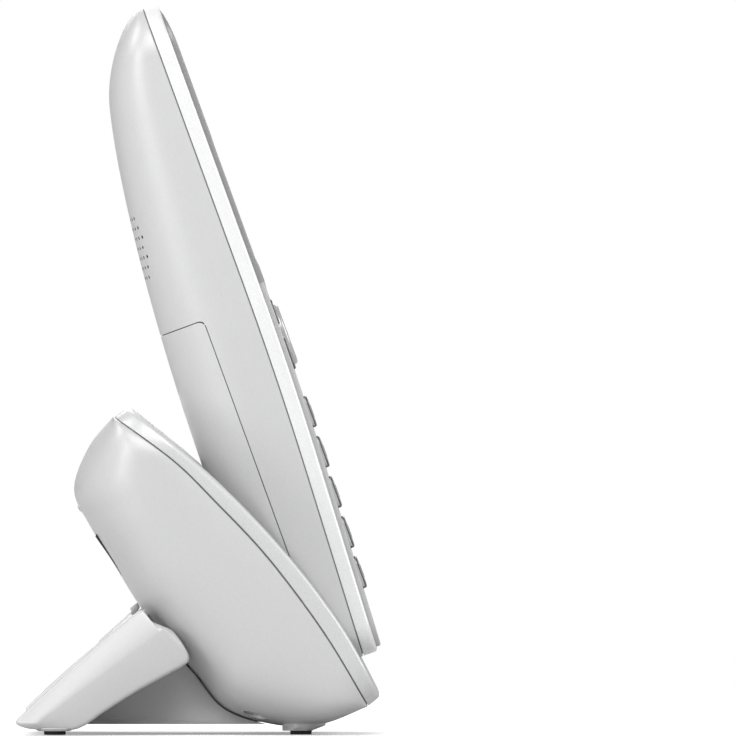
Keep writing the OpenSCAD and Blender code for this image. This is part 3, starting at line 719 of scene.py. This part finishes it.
KEYS = []
for row, names in enumerate((("key_1", "key_2", "key_3"), ("key_4", "key_5", "key_6"),
                             ("key_7", "key_8", "key_9"), ("key_star", "key_0", "key_pound"),
                             ("key_redial", "key_speaker", "key_mute"))):
    for column, key in enumerate(names):
        z = KEY_TOP_ROW - KEY_PITCH * row
        KEYS.append((key, (column - 1) * KEY_COLUMN, z, KEY_W, KEY_H, bow(z) - 1.85))
for key, x, z, height, top in (("softkey_left", -14.6, 88.3, 6.9, -1.25), ("softkey_right", 14.6, 88.3, 6.9, -1.25),
                               ("talk_key", -14.6, 77.4, 8.6, -1.2), ("off_key", 14.6, 77.4, 8.6, -1.2)):
    KEYS.append((key, x, z, 9.2, height, top))


def raise_of(z):
    """The faceplate is a little fuller round the display and has a lip below it."""
    if z > 134:
        return 0.1
    if KEY_FIELD_TOP < z < 101:
        return 0.25
    return 0.0


def frontal(co):
    """Height along the handset of a point in the row frame, in millimetres."""
    return (co[1] / MM - DOCK_Y) * sin(DOCK_LEAN) + (co[2] / MM - DOCK_Z) * cos(DOCK_LEAN)


def make_faceplate():
    """A plate with a rounded edge round its outline and round every hole."""
    holes = [(x, z, w + 2 * KEY_GAP, h + 2 * KEY_GAP, 2.2) for _, x, z, w, h, _ in KEYS]
    holes += [(0, NAV_Z, NAV_SIZE + 2 * KEY_GAP, NAV_SIZE + 2 * KEY_GAP, 7.2), (0, SCREEN_Z, 35, 29, 2.5),
              (0, MIC_Z, 1.4, 1.4, 0.69)]
    holes += [(i * 2.6, EARPIECE_Z, 1.2, 5 - abs(i) * 0.8, 0.59) for i in range(-2, 3)]
    levels = ((0.32, 0.0), (0.2, 0.03), (0.09, 0.1), (0.02, 0.22), (0.0, 0.36), (0.0, None))
    points, faces = [], []

    def ring_points(level, hole):
        inward, sink = levels[level]
        if hole is None:
            ring = plate_outline(inward)
        else:
            x, z, w, h, r = hole
            small = min(w, h) < 2
            grow = inward * (0.35 if small else 1)
            ring = [(x + a, z + b) for a, b in pill_ring(w + 2 * grow, h + 2 * grow, r + grow, 5 if small else 8)]
        if sink is None:
            return [(x, band(z) - 0.05, z) for x, z in ring]
        return [(x, plate_face(z) - raise_of(z) + sink, z) for x, z in ring]

    loops = {}
    for hole in [None] + holes:
        for level in range(len(levels)):
            loops[hole, level] = len(points)
            points.extend(ring_points(level, hole))
        count = (len(points) - loops[hole, 0]) // len(levels)
        loops[hole, "count"] = count
        for level in range(len(levels) - 1):
            a, b = loops[hole, level], loops[hole, level + 1]
            faces += [(a + k, a + (k + 1) % count, b + (k + 1) % count, b + k) for k in range(count)]

    def inside_loop(x, z, ring):
        hit = False
        for (x0, _, z0), (x1, _, z1) in zip(ring, ring[1:] + ring[:1]):
            if (z0 > z) != (z1 > z) and x < (x1 - x0) * (z - z0) / (z1 - z0) + x0:
                hit = not hit
        return hit

    for level in (0, len(levels) - 1):
        rings = {hole: ring_points(level, hole) for hole in [None] + holes}
        flat, edges, index = [], [], []
        for hole in [None] + holes:
            start, count = len(flat), loops[hole, "count"]
            flat += [Vector((p[0], p[2])) for p in rings[hole]]
            index += [loops[hole, level] + k for k in range(count)]
            edges += [(start + k, start + (k + 1) % count) for k in range(count)]

        def in_plate(x, z):
            return inside_loop(x, z, rings[None]) and not any(inside_loop(x, z, rings[h]) for h in holes)

        if level == 0:
            for z in np.arange(PLATE_LOW + 2, PLATE_TOP - 1, 2.6):
                for x in np.arange(-19.5, 19.6, 3.0):
                    near = any(abs(x - h[0]) < h[2] / 2 + 0.9 and abs(z - h[1]) < h[3] / 2 + 0.9 for h in holes)
                    if not near and in_plate(x, z) and abs(x) < plate_side(z) - 1.2:
                        index.append(len(points))
                        points.append((x, plate_face(z) - raise_of(z), z))
                        flat.append(Vector((x, z)))
        verts, _, tris, origin, _, _ = delaunay_2d_cdt(flat, edges, [], 0, 1e-5)
        for tri in tris:
            x, z = sum(verts[i].x for i in tri) / 3, sum(verts[i].y for i in tri) / 3
            if in_plate(x, z) and all(origin[i] for i in tri):
                faces.append(tuple(index[origin[i][0]] for i in tri))
    plate = make_piece("faceplate_skin", docked(points), faces, PLATE)
    plate.data.materials.append(KEY_FIELD)
    for polygon in plate.data.polygons:
        if np.mean([frontal(plate.data.vertices[i].co) for i in polygon.vertices]) < KEY_FIELD_TOP:
            polygon.material_index = 1
    return plate


faceplate = make_faceplate()

display_window = pill_stack("display_window_skin", (34.7, 28.7), (2.35, 1, 0.5),
                            ((0, 0.24), (0, -0.6), (0.05, -0.74), (0.22, -0.82)), (0, SCREEN_Z), 1, docked, WINDOW)


def make_key(name, x, z, width, height, top):
    """A key cap with a flange below, a rounded shoulder and a very slightly crowned top. Its flange, shoulder and upper
    and lower side walls are near black: painted shade round the key's edge.
    """
    flange = band(z - height / 2) + FRONT_WALL + 0.35
    profile = [(-0.8, flange + 0.9), (-0.8, flange), (0.0, flange), (0.0, top + 0.55)]
    profile += [(0.45 - 0.45 * cos(a), top + 0.55 - 0.45 * sin(a))
                for a in np.linspace(0.25, pi / 2, 5)]
    profile += [(1.0, top + 0.06), (1.9, top + 0.02), (3.0, top)]
    key = pill_stack(name + "_cap", (width, height), (KEY_R, 1, 0.5), profile, (x, z), 1, docked, KEYCAP)
    # Painted shade: the flange, the rounded shoulder and the upper and lower side walls take the near-black finish, an
    # outline of shade round each key.
    key.data.materials.append(KEY_EDGE_SHADE)
    ring = moved(pill_ring(width, height, KEY_R, 8), x, z)
    count = len(ring)
    for polygon in key.data.polygons[:(len(profile) - 1) * count]:
        level, k = divmod(polygon.index, count)
        across = ring[(k + 1) % count][0] - ring[k][0]
        run = ring[(k + 1) % count][1] - ring[k][1]
        if level < 2 or 3 <= level <= 6 or (level == 2 and abs(across) > abs(run)):
            polygon.material_index = 1
    return key


KEY_MARKS = {"key_%d" % n: str(n) for n in range(10)}
KEY_MARKS.update({"key_star": "*", "key_pound": "#"})


def lay_mark(name, mesh_points, faces, x, z, top, material):
    """A thin printed mark lying on a key's top."""
    n = len(mesh_points)
    points = [(x + a, top - 0.02 - lift, z + b) for lift in (0.0, 0.03) for a, b in mesh_points]
    rim = {}
    for f in faces:
        for a, b in zip(f, f[1:] + f[:1]):
            rim[(a, b)] = rim.get((a, b), 0) + 1
    walls = [(a, b, b + n, a + n) for (a, b) in rim if (b, a) not in rim]
    allfaces = [f[::-1] for f in faces] + [tuple(i + n for i in f) for f in faces] + walls
    return make_piece(name, docked(points), allfaces, material)


def text_shape(text, size):
    """A numeral or sign as flat points and faces, centred."""
    data = bpy.data.curves.new("numeral", "FONT")
    data.body, data.size, data.resolution_u = text, size, 4
    data.align_x, data.align_y = "CENTER", "CENTER"
    obj = new_object("numeral", data)
    graph = bpy.context.evaluated_depsgraph_get()
    mesh = bpy.data.meshes.new_from_object(obj.evaluated_get(graph))
    bm = bmesh.new()
    bm.from_mesh(mesh)
    bmesh.ops.remove_doubles(bm, verts=bm.verts, dist=1e-4)
    bm.verts.ensure_lookup_table()
    points = [(v.co.x, v.co.y) for v in bm.verts]
    faces = [tuple(v.index for v in f.verts) for f in bm.faces]
    bm.free()
    bpy.data.objects.remove(obj)
    low, high = np.min(points, 0), np.max(points, 0)
    mid = (low + high) / 2
    return [(a - mid[0], b - mid[1]) for a, b in points], faces


def ring_shape(outer, inner, start, end, steps):
    """Part of a flat ring."""
    points, faces = [], []
    for k in range(steps + 1):
        a = radians(start + (end - start) * k / steps)
        points += [(outer * cos(a), outer * sin(a)), (inner * cos(a), inner * sin(a))]
        if k:
            faces.append((2 * k - 2, 2 * k, 2 * k + 1, 2 * k - 1))
    return points, faces


def outline_shape(points):
    return points, [tuple(range(len(points)))]


key_pieces = {}
for key, x, z, width, height, top in KEYS:
    key_pieces[key] = [make_key(key, x, z, width, height, top)]
    if key in KEY_MARKS:
        shape = text_shape(KEY_MARKS[key], 5.4 if key == "key_star" else 4.6)
        key_pieces[key].append(lay_mark(key + "_numeral", *shape, x, z, top, INK))

DASH = outline_shape([(-1.6, -0.22), (1.6, -0.22), (1.6, 0.22), (-1.6, 0.22)])
SPEAKER = outline_shape([(-1.8, -0.6), (-0.8, -0.6), (0.5, -1.6), (0.5, 1.6), (-0.8, 0.6), (-1.8, 0.6)])
MARKS = {
    "talk_key": (ring_shape(2.5, 1.5, 200, 340, 14), GREEN_INK, 0.9),
    "off_key": (ring_shape(2.5, 1.5, 20, 160, 14), RED_INK, -1.1),
    "softkey_left": (DASH, INK, 0.0),
    "softkey_right": (DASH, INK, 0.0),
    "key_redial": (ring_shape(1.7, 1.25, 60, 360, 18), INK, 0.0),
    "key_speaker": (SPEAKER, INK, 0.0),
    "key_mute": (ring_shape(1.7, 1.3, 0, 360, 24), INK, 0.0),
}
for key, x, z, width, height, top in KEYS:
    if key in MARKS:
        (points, faces), ink, drop = MARKS[key]
        key_pieces[key].append(lay_mark(key + "_mark", [(a, b + drop) for a, b in points], faces, x, z, top, ink))


def make_nav_key():
    """A raised round ring with a dished middle and a small centre button."""
    flange = band(NAV_Z - 8) + FRONT_WALL + 0.35
    profile = [(-0.5, flange + 0.9), (-0.5, flange), (0, flange), (0, -1.3), (0.12, -1.65), (0.4, -1.95), (0.85, -2.1),
               (1.5, -2.08), (2.6, -1.7), (3.3, -1.35), (3.5, -0.9), (3.9, -0.85), (4.05, -1.2), (4.25, -1.45),
               (4.7, -1.55), (6.2, -1.6), (7.4, -1.6)]
    return pill_stack("nav_key_ring", (NAV_SIZE, NAV_SIZE), (7, 0.9, 0.45), profile, (0, NAV_Z), 1, docked, NAV, 12)


nav_ring = make_nav_key()
arrows = []
for turn in range(4):
    a = radians(90 * turn)
    tip = [(0, 6.9), (-0.7, 6.1), (0.7, 6.1)]
    points = [(x * cos(a) - y * sin(a), x * sin(a) + y * cos(a)) for x, y in tip]
    arrows.append(lay_mark("nav_arrow_%d" % turn, points, [(0, 1, 2)], 0, NAV_Z, -2.06, INK))
nav_arrows = join("nav_key_arrows", arrows)


def make_screw():
    """A pan head with a cross recess on a plain shank, pointing along -z, made at the origin."""
    rings = []
    for r, z in ((0.0008, -0.0078), (0.0008, 0), (0.00155, 0), (0.00155, 0.0007), (0.0013, 0.0011), (0.0007, 0.0014)):
        rings.append([(a, b, z / MM) for a, b in circle(r / MM, 24)])
    screw = make_stack("screw_blank", rings, as_is, STEEL)
    for w, d in ((1.1, 0.28), (0.28, 1.1)):
        bar = [(x * w, y * d) for x, y in ((-1, -1), (1, -1), (1, 1), (-1, 1))]
        carve(screw, make_stack("screw_cross", levels(bar, (0.7, 2.0), 2), as_is, STEEL))
    return screw


SCREW_TREE = copies_tree("screws_in_place", (("Screw", "Object"), ("Size", "Float")), "GeometryNodeObjectInfo",
                         {"Object": "Screw"}, "Geometry", "Size")
screw_master = make_screw()
case_screws = repeat("handset_case_screws", SCREW_TREE, docked([(i * SCREW_X, 14.45, SCREW_Z) for i in (-1, 1)]),
                     Screw=screw_master, Size=1.0, Turn=toward_back, Finish=STEEL)
base_screws = repeat("base_case_screws", SCREW_TREE, [(i * BASE_SCREW[0], BASE_SCREW[1], 7.15) for i in (-1, 1)],
                     Screw=screw_master, Size=1.55, Turn=Matrix.Rotation(pi, 3, "X").to_euler(), Finish=STEEL)
bpy.data.objects.remove(screw_master)
for screws in (case_screws, base_screws):
    shade(screws)

# ---------------------------------------------------------------- base


def base_half(u):
    return BASE_HALF - corner_cut(SHOULDER, BASE_RUN * u) - corner_cut(TOE, BASE_RUN * (1 - u))


def sunk(u, by):
    return 0.5 + (u - 0.5) * (1 - 2 * by / BASE_RUN)


def stations(first, last, count, ends):
    """Positions along the base, closer together near both ends."""
    near = [k * k / (ends * ends) * 0.1 for k in range(1, ends)]
    middle = list(np.linspace(first + 0.1, last - 0.1, count))
    return [first] + [first + s for s in near] + middle + [last - s for s in near[::-1]] + [last]


def fullness(u):
    """How square the lower shell's section is: rounder toward its top end."""
    t = min(u / 0.45, 1.0)
    return 2.7 + 1.7 * t * t * (3 - 2 * t)


def make_hull():
    outside, inside = [], []
    for v in stations(0.003, 0.997, 52, 12):
        g, o = through(GROOVE, v), through(HULL, v)
        n = toward(g, o)
        depth = np.hypot(*(o - g)) - BASE_SEAM_GAP
        ring = both_sides(soft_half(base_half(v), max(depth, 0.3), fullness(v), 0.45, 40))
        outside.append([(x, *(g + n * (BASE_SEAM_GAP + d))) for x, d in ring])
        u = sunk(v, 2.6)
        g, o = through(GROOVE, u), through(HULL, u)
        n = toward(g, o)
        depth = max(np.hypot(*(o - g)) - BASE_WALL - 0.66, 0.25)
        ring = both_sides(soft_half(base_half(v) - BASE_WALL, depth, fullness(v), 0.02, 40))
        inside.append([(x, *(g + n * (BASE_SEAM_GAP + d))) for x, d in ring])
    return make_tray("base_lower_shell_skin", outside, inside, as_is, SHELL)


def base_seam_side(inward, lift):
    right = []
    for v in np.linspace(0.012, 0.988, 60):
        g = through(GROOVE, v)
        right.append((base_half(v) - inward, *(g + toward(g, through(HULL, v)) * lift)))
    return right


hull = make_hull()
# Painted shade: the dark lip behind the base's seam stands in for the shade in its gap.
base_lip = make_hoop("base_seam_lip", ((0.8, -1.0), (0.8, 1.2), (1.5, 1.2), (1.5, -1.0)), base_seam_side, as_is)
line_mouth = moved(pill_ring(12.6, 12.2, 0.4, 4), -20, 0)
power_mouth = circle(4.8, 40, 20)
carve(hull, make_stack("line_socket_opening", levels(line_mouth, (-9, 6), 1), at_rear_wall, SHELL))
carve(hull, make_stack("power_socket_opening", levels(power_mouth, (-9, 6), 1), at_rear_wall, SHELL))
carve(hull, make_slab("back_lip", [(27.7, 57.9), (29.6, 57.8), (30.15, 57.3), (30.2, 56.4), (29.7, 55.6), (28.7, 54.9),
                                   (27.7, 54.6)], -17, 17, SHELL, 0.2), "UNION")
for i in (-1, 1):
    well = circle(2.8, 32, i * BASE_SCREW[0], BASE_SCREW[1])
    carve(hull, make_stack("screw_well", levels(well, (-1, 7.2), 2), as_is, SHELL))
shade(hull)


def disc_stack(name, x, y, profile, material):
    """A turned piece standing on (x, y): profile is (radius, z)."""
    return make_stack(name, [[(a, b, z) for a, b in circle(r, 40, x, y)] for r, z in profile], as_is, material)


foot_bosses = join("front_foot_bosses", [
    make_stack("boss", [[(i * FRONT_FOOT_X + x, y0 + y, z) for x, y in pill_ring(w, h, r, 9)]
                        for y0, w, h, r, z in ((-26.3, 10.8, 10.8, 5.3, 4.6), (-26.3, 10.8, 10.8, 5.3, 2.2),
                                               (-24.8, 10.2, 7.8, 2.4, 1.1), (-24.7, 9.8, 7.3, 2.2, PAD))],
               as_is, SHELL)
    for i in (-1, 1)])
front_pads = join("front_rubber_pads", [
    make_stack("pad", [[(i * FRONT_FOOT_X + x, -25.55 + y, z) for x, y in pill_ring(9 - 2 * g, 5.3 - 2 * g, 0.8)]
                       for z, g in ((PAD + 0.05, 0), (0.12, 0), (0.03, 0.06), (0.0, 0.18))], as_is, RUBBER)
    for i in (-1, 1)])


def make_cover():
    """The bright band and sloping face of the base, as one walled cover."""
    outside, inside = [], []
    for v in stations(0.0, 1.0, 56, 12):
        g, s = through(GROOVE, v), through(SLOPE, v)
        n = toward(g, s)
        ease = corner_cut(0.9, BASE_RUN * min(v, 1 - v))
        width = base_half(min(max(v, 0.003), 0.997)) - ease * 0.6
        ring = both_sides(square_half(width, np.hypot(*(s - g)) - ease, 0.3, 1.1, 24))
        outside.append([(x, *(g + n * d)) for x, d in ring])
        u = sunk(v, COVER_WALL)
        g, s = through(GROOVE, u), through(SLOPE, u)
        n = toward(g, s)
        depth = max(np.hypot(*(s - g)) - COVER_WALL, 0.4)
        ring = both_sides(square_half(base_half(v) - COVER_WALL, depth, 0.02, 0.3, 24))
        inside.append([(x, *(g + n * d)) for x, d in ring])
    return make_tray("base_cover_skin", outside, inside, as_is, COVER)


def tub_ring(grow, z):
    """The cradle's plan at a height along the handset's axis: square in front, round behind."""
    half, back, r = HANDSET_HALF + CRADLE_GAP + grow, HANDSET_BACK + CRADLE_GAP + grow, 9 + grow
    ring = [(half, -40, z), (half, back - r, z)]
    turn = np.linspace(0, pi / 2, 10)
    ring += [(half - r + r * cos(a), back - r + r * sin(a), z) for a in turn[1:]]
    ring += [(-half + r - r * sin(a), back - r + r * cos(a), z) for a in turn[:-1]]
    return ring + [(-half, back - r, z), (-half, -40, z)]


cover = make_cover()
cradle_wall = make_stack("cradle_wall", [tub_ring(2.0, z) for z in (CRADLE_FLOOR - 2, 86)], docked, COVER)
under = [tuple(through(SLOPE, u) + 1.2 * np.array((0.65, -0.76))) for u in np.linspace(0, 1, 30)]
under += [(-30, 2), (30, 10), (34, 60)]
carve(cradle_wall, make_stack("under_slope", levels(under, (-48, 48), 0), as_is, COVER), "INTERSECT")
carve(cover, cradle_wall, "UNION")
carve(cover, make_stack("cradle_room", [tub_ring(0.0, z) for z in (CRADLE_FLOOR, 92)], docked, COVER))


carve(cover, make_stack("find_key_well", levels(pill_ring(14.6, 8.6, 3.9, 9), (-6, 6), 2), on_shelf, COVER))
carve(cover, make_stack("light_well", levels(circle(2, 28, LAMP_X), (-6, 6), 2), on_shelf, COVER))
for i in (-1, 1):
    slot = moved(((-2, 11.4), (2, 11.4), (2, 16.1), (-2, 16.1)), i * 9, 0)
    carve(cover, make_stack("contact_slot", levels(slot, (-6, 2), 2), docked, COVER))
shade(cover)

find_profile = [(-1, -4), (-1, -3), (0, -3), (0, -0.6), (0.12, -0.32), (0.4, -0.15), (1.0, -0.1), (2.0, -0.1),
                (3.2, -0.1)]
find_key = pill_stack("find_handset_key_cap", (14, 8), (3.6, 1, 0.4), find_profile, (0, 0), 2, on_shelf, KEYCAP, 9)
lamp_profile = [(2.5, -4), (2.5, -3), (1.9, -3), (1.9, -0.4), (1.7, -0.2), (1.2, -0.1), (0.4, -0.08)]
lamp = make_stack("in_use_lamp", [[(a, b, z) for a, b in circle(r, 28, LAMP_X)] for r, z in lamp_profile],
                  on_shelf, LAMP)

# ---------------------------------------------------------------- stand

LEG_LINE = [(45.3, 2.9), (44.7, 4.2), (43.2, 5.6), (34.6, 13.6), (25.3, 22.0), (17.6, 28.6), (14.7, 30.9), (13.6, 30.9),
            (12.6, 29.5), (11.3, 28.1), (9.2, 27.2), (6.6, 26.0), (4.9, 24.2), (3.4, 22.0), (2.35, 19.8), (2.35, 18.4),
            (3.4, 17.3), (7.7, 14.9), (15.35, 10.7), (23, 5.9), (26.8, 3.2), (28.6, 2.1), (30.6, 1.35), (33, 1.25),
            (40.4, 1.35), (43.6, 1.9)]
LEG_RIDGE = ((40.2, 2.9), (8.9, 26.2))


def around(points, count):
    """Evenly stepped smooth closed line through points."""
    ring = np.array(points[-1:] + points + points[:2], float)
    out = []
    for t in np.linspace(0, len(points), count, endpoint=False):
        i = int(t)
        f = t - i
        a, b, c, d = ring[i:i + 4]
        out.append(0.5 * (2 * b + (c - a) * f + (2 * a - 5 * b + 4 * c - d) * f * f + (3 * b - a - 3 * c + d) * f**3))
    return out


def make_leg(side_sign):
    """A leg whose outer face rises from a rounded edge to a soft ridge along its length."""
    outline = around(LEG_LINE, 156)
    r0, r1 = (np.array(p) for p in LEG_RIDGE)
    along = r1 - r0
    feet = [r0 + along * min(1, max(0, np.dot(p - r0, along) / np.dot(along, along))) for p in outline]
    rings = []
    inner, outer = LEG_OUT - LEG_WIDTH, LEG_OUT
    shape = [(0.985, inner), (1.0, inner + 0.4)]
    for s in (1.0, 0.996, 0.985, 0.965, 0.94, 0.9, 0.82, 0.72, 0.6, 0.48, 0.36, 0.25, 0.16, 0.09, 0.04, 0.015):
        edge = max(0.0, (s - 0.9) / 0.1)
        shape.append((s, outer - 1.7 * s**1.5 - 1.1 * (1 - sqrt(max(0, 1 - edge * edge)))))
    for s, x in shape:
        rings.append([(side_sign * x, *(f + (p - f) * s)) for p, f in zip(outline, feet)])
    return make_stack("stand_leg", rings, as_is, SHELL, 50)


legs = [make_leg(i) for i in (-1, 1)]
reach = LEG_OUT - LEG_WIDTH
panel = make_slab("stand_panel", [(42.9, 6.9), (33.2, 15.6), (25.3, 22.3), (16.6, 30.2), (15.2, 28.6), (24, 20.6),
                                  (32, 13.8), (41.8, 4.8), (43, 4)], -reach - 3, reach + 3, SHELL, 0.5)
strip = make_slab("stand_strip", [(25.0, 23.0), (17.0, 30.2), (16.3, 29.4), (24.2, 22.2)], -20, 20, SHELL, 0.25)
tab = make_slab("stand_tab", [(17.3, 31.1), (15.5, 32.6), (14.8, 31.4), (16, 29.2)], -9, 9, SHELL, 0.3)
web_edge = [tuple(through(HULL, u) + 0.12 * np.array((0.8, -0.6))) for u in np.linspace(0.5, 0.8, 18)]
web_line = [(15.0, 29.3), (16.2, 28.8), (24.4, 21.4), (40, 6.6), (40.6, 4.4), (29, 2.45)]
webs = [make_slab("stand_web", web_edge + web_line[::-1], i * WEB_X - 1, i * WEB_X + 1, SHELL, 0.3) for i in (-1, 1)]
stand_parts = legs + [panel, strip, tab] + webs
foot_profile = ((4.7, 1.7), (4.7, 1.45), (4.4, 1.15), (3.9, 0.92))
stand_parts += [disc_stack("boss", i * REAR_FOOT_X, 35.8, foot_profile, SHELL) for i in (-1, 1)]
hook_angle = radians(-37)
c, s = cos(hook_angle), sin(hook_angle)
hook = [(12.7 + c * a - s * b, 30.6 + s * a + c * b) for a, b in ((-4.3, -0.9), (4.3, -0.9), (4.3, 0.9), (-4.3, 0.9))]
stand_parts += [make_slab("stand_hook", hook, i * WEB_X - 3.8, i * WEB_X + 3.8, SHELL, 0.2) for i in (-1, 1)]
stand = join("desk_stand_skin", stand_parts)
rear_pads = join("rear_rubber_pads", [
    disc_stack("pad", i * REAR_FOOT_X, 35.6, ((2.7, PAD + 0.3), (2.7, 0.15), (2.6, 0.04), (2.4, 0.0)), RUBBER)
    for i in (-1, 1)])

# ---------------------------------------------------------------- bodies, slots and the CAD nodes that stay

for piece, body, node, finish_slot in (
        (rear_shell, "handset", "handset_rear_shell", "shell_plastic"),
        (battery_door, "handset", "battery_door", "shell_plastic"),
        (front_shell, "handset", "handset_front_shell", "band_plastic"),
        (seam_lip, "handset", None, "band_plastic"),
        (door_lips, "handset", None, "shell_plastic"),
        (base_lip, "base", None, "shell_plastic"),
        (faceplate, "handset", "faceplate", "plate_plastic"),
        (display_window, "handset", "display_lens", "lens_plastic"),
        (case_screws, "handset", "handset_screws", "screw_steel"),
        (nav_ring, "nav_key", "nav_key", "key_plastic"),
        (nav_arrows, "nav_key", None, "key_plastic"),
        (hull, "base", "base_lower_shell", "shell_plastic"),
        (foot_bosses, "base", None, "shell_plastic"),
        (front_pads, "base", "base_feet", "pad_rubber"),
        (cover, "base", "base_top_cover", "band_plastic"),
        (find_key, "find_handset_key", "find_handset_key", "key_plastic"),
        (lamp, "base", "in_use_light", "lamp"),
        (base_screws, "base", "base_screws", "screw_steel"),
        (stand, "base", "desk_stand", "shell_plastic"),
        (rear_pads, "base", "stand_feet", "pad_rubber")):
    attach(piece, body)
    if node:
        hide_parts(node)
for key, made in key_pieces.items():
    for piece in made:
        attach(piece, key)
    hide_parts(key)

STAYING = {"lcd_module": SCREEN, "earpiece_speaker": BLACK, "speakerphone_driver": BLACK, "microphone": BLACK,
           "handset_circuit_board": BOARD, "keypad_mat": SILICONE, "battery_pack": WRAP, "battery_contacts": NICKEL,
           "handset_contact_plates": NICKEL, "base_circuit_board": BOARD, "charge_contacts": NICKEL,
           "base_ringer": BLACK, "line_jack": BLACK, "power_jack": BLACK}
for node, material in STAYING.items():
    slots = CAD[node].data.materials
    for k in range(max(1, len(slots))):
        if k < len(slots):
            slots[k] = material
        else:
            slots.append(material)

# ---------------------------------------------------------------- floor, light and camera


def stage_material():
    """A pale floor that the camera sees nearly white, and that throws less light back at the object."""
    material = bpy.data.materials.new("pale_stage")
    material.use_nodes = True
    tree = material.node_tree
    tone = remap(tree, noise(tree, 3.0, 2.0), 0.0, 1.0, 0.93, 0.95)
    camera_ray = tree.nodes.new("ShaderNodeLightPath").outputs["Is Camera Ray"]
    tone = arithmetic(tree, "MULTIPLY", tone, arithmetic(tree, "MULTIPLY_ADD", camera_ray, 0.38, 0.62))
    feed(tree, tree.nodes["Principled BSDF"], {
        "Base Color": grey_level(tree, tone), "Roughness": 0.9, "Specular IOR Level": 0.1,
        "Emission Color": (1, 1, 1, 1), "Emission Strength": arithmetic(tree, "MULTIPLY", camera_ray, 0.3)})
    return material


def make_stage():
    bpy.ops.mesh.primitive_circle_add(vertices=96, radius=1.1, fill_type="NGON", location=(0, 0, -0.0002))
    floor = bpy.context.object
    floor.name = "studio_floor"
    floor.data.materials.append(stage_material())


def area_light(name, place, target, size, power, size_y=None):
    data = bpy.data.lights.new(name, "AREA")
    data.energy, data.size = power, size
    if size_y:
        data.shape, data.size_y = "RECTANGLE", size_y
    light = new_object(name, data)
    light.location = place
    light.rotation_mode = "QUATERNION"
    light.rotation_quaternion = (Vector(target) - Vector(place)).to_track_quat("-Z", "Y")
    light.visible_camera = False


make_stage()


def make_world():
    """White behind the object, and a softer grey for the light that falls on it."""
    world = bpy.data.worlds.new("studio_white")
    bpy.context.scene.world = world
    world.use_nodes = True
    tree = world.node_tree
    backdrop = feed(tree, tree.nodes["Background"], {"Color": (1, 1, 1, 1), "Strength": 1.0})
    fill = add_node(tree, "ShaderNodeBackground", {"Color": (1, 1, 1, 1), "Strength": 0.36})
    path = tree.nodes.new("ShaderNodeLightPath")
    mix = add_node(tree, "ShaderNodeMixShader",
                   {0: path.outputs["Is Camera Ray"], 1: fill.outputs[0], 2: backdrop.outputs[0]})
    feed(tree, tree.nodes["World Output"], {"Surface": mix.outputs[0]})


make_world()
MIDDLE = (0, 0, 0.09)
area_light("side_softbox", (-0.9, 0.1, 0.75), MIDDLE, 0.9, 8.2, 0.7)
area_light("rear_softbox", (0.0, 0.95, 0.75), MIDDLE, 0.6, 4.0)
area_light("front_softbox", (-0.15, -1.0, 0.55), MIDDLE, 0.6, 4.5)
area_light("right_softbox", (1.1, 0.0, 0.7), MIDDLE, 0.8, 6.0)
area_light("low_side_softbox", (-0.85, 0.95, 0.15), (0, 0, 0.08), 0.6, 5.0)

camera_data = bpy.data.cameras.new("side_camera")
camera_data.sensor_width = 36
FIELD, DISTANCE = 0.184, 8.0
camera_data.lens = 36.0 * DISTANCE / FIELD
camera_data.clip_start, camera_data.clip_end = 0.05, 50
camera = new_object("side_camera", camera_data)
camera.location = (-DISTANCE, -0.04225, 0.0912)
camera.rotation_euler = (pi / 2, 0, -pi / 2)
bpy.context.scene.camera = camera
bpy.context.scene.view_settings.view_transform = "Standard"

bpy.context.view_layer.update()
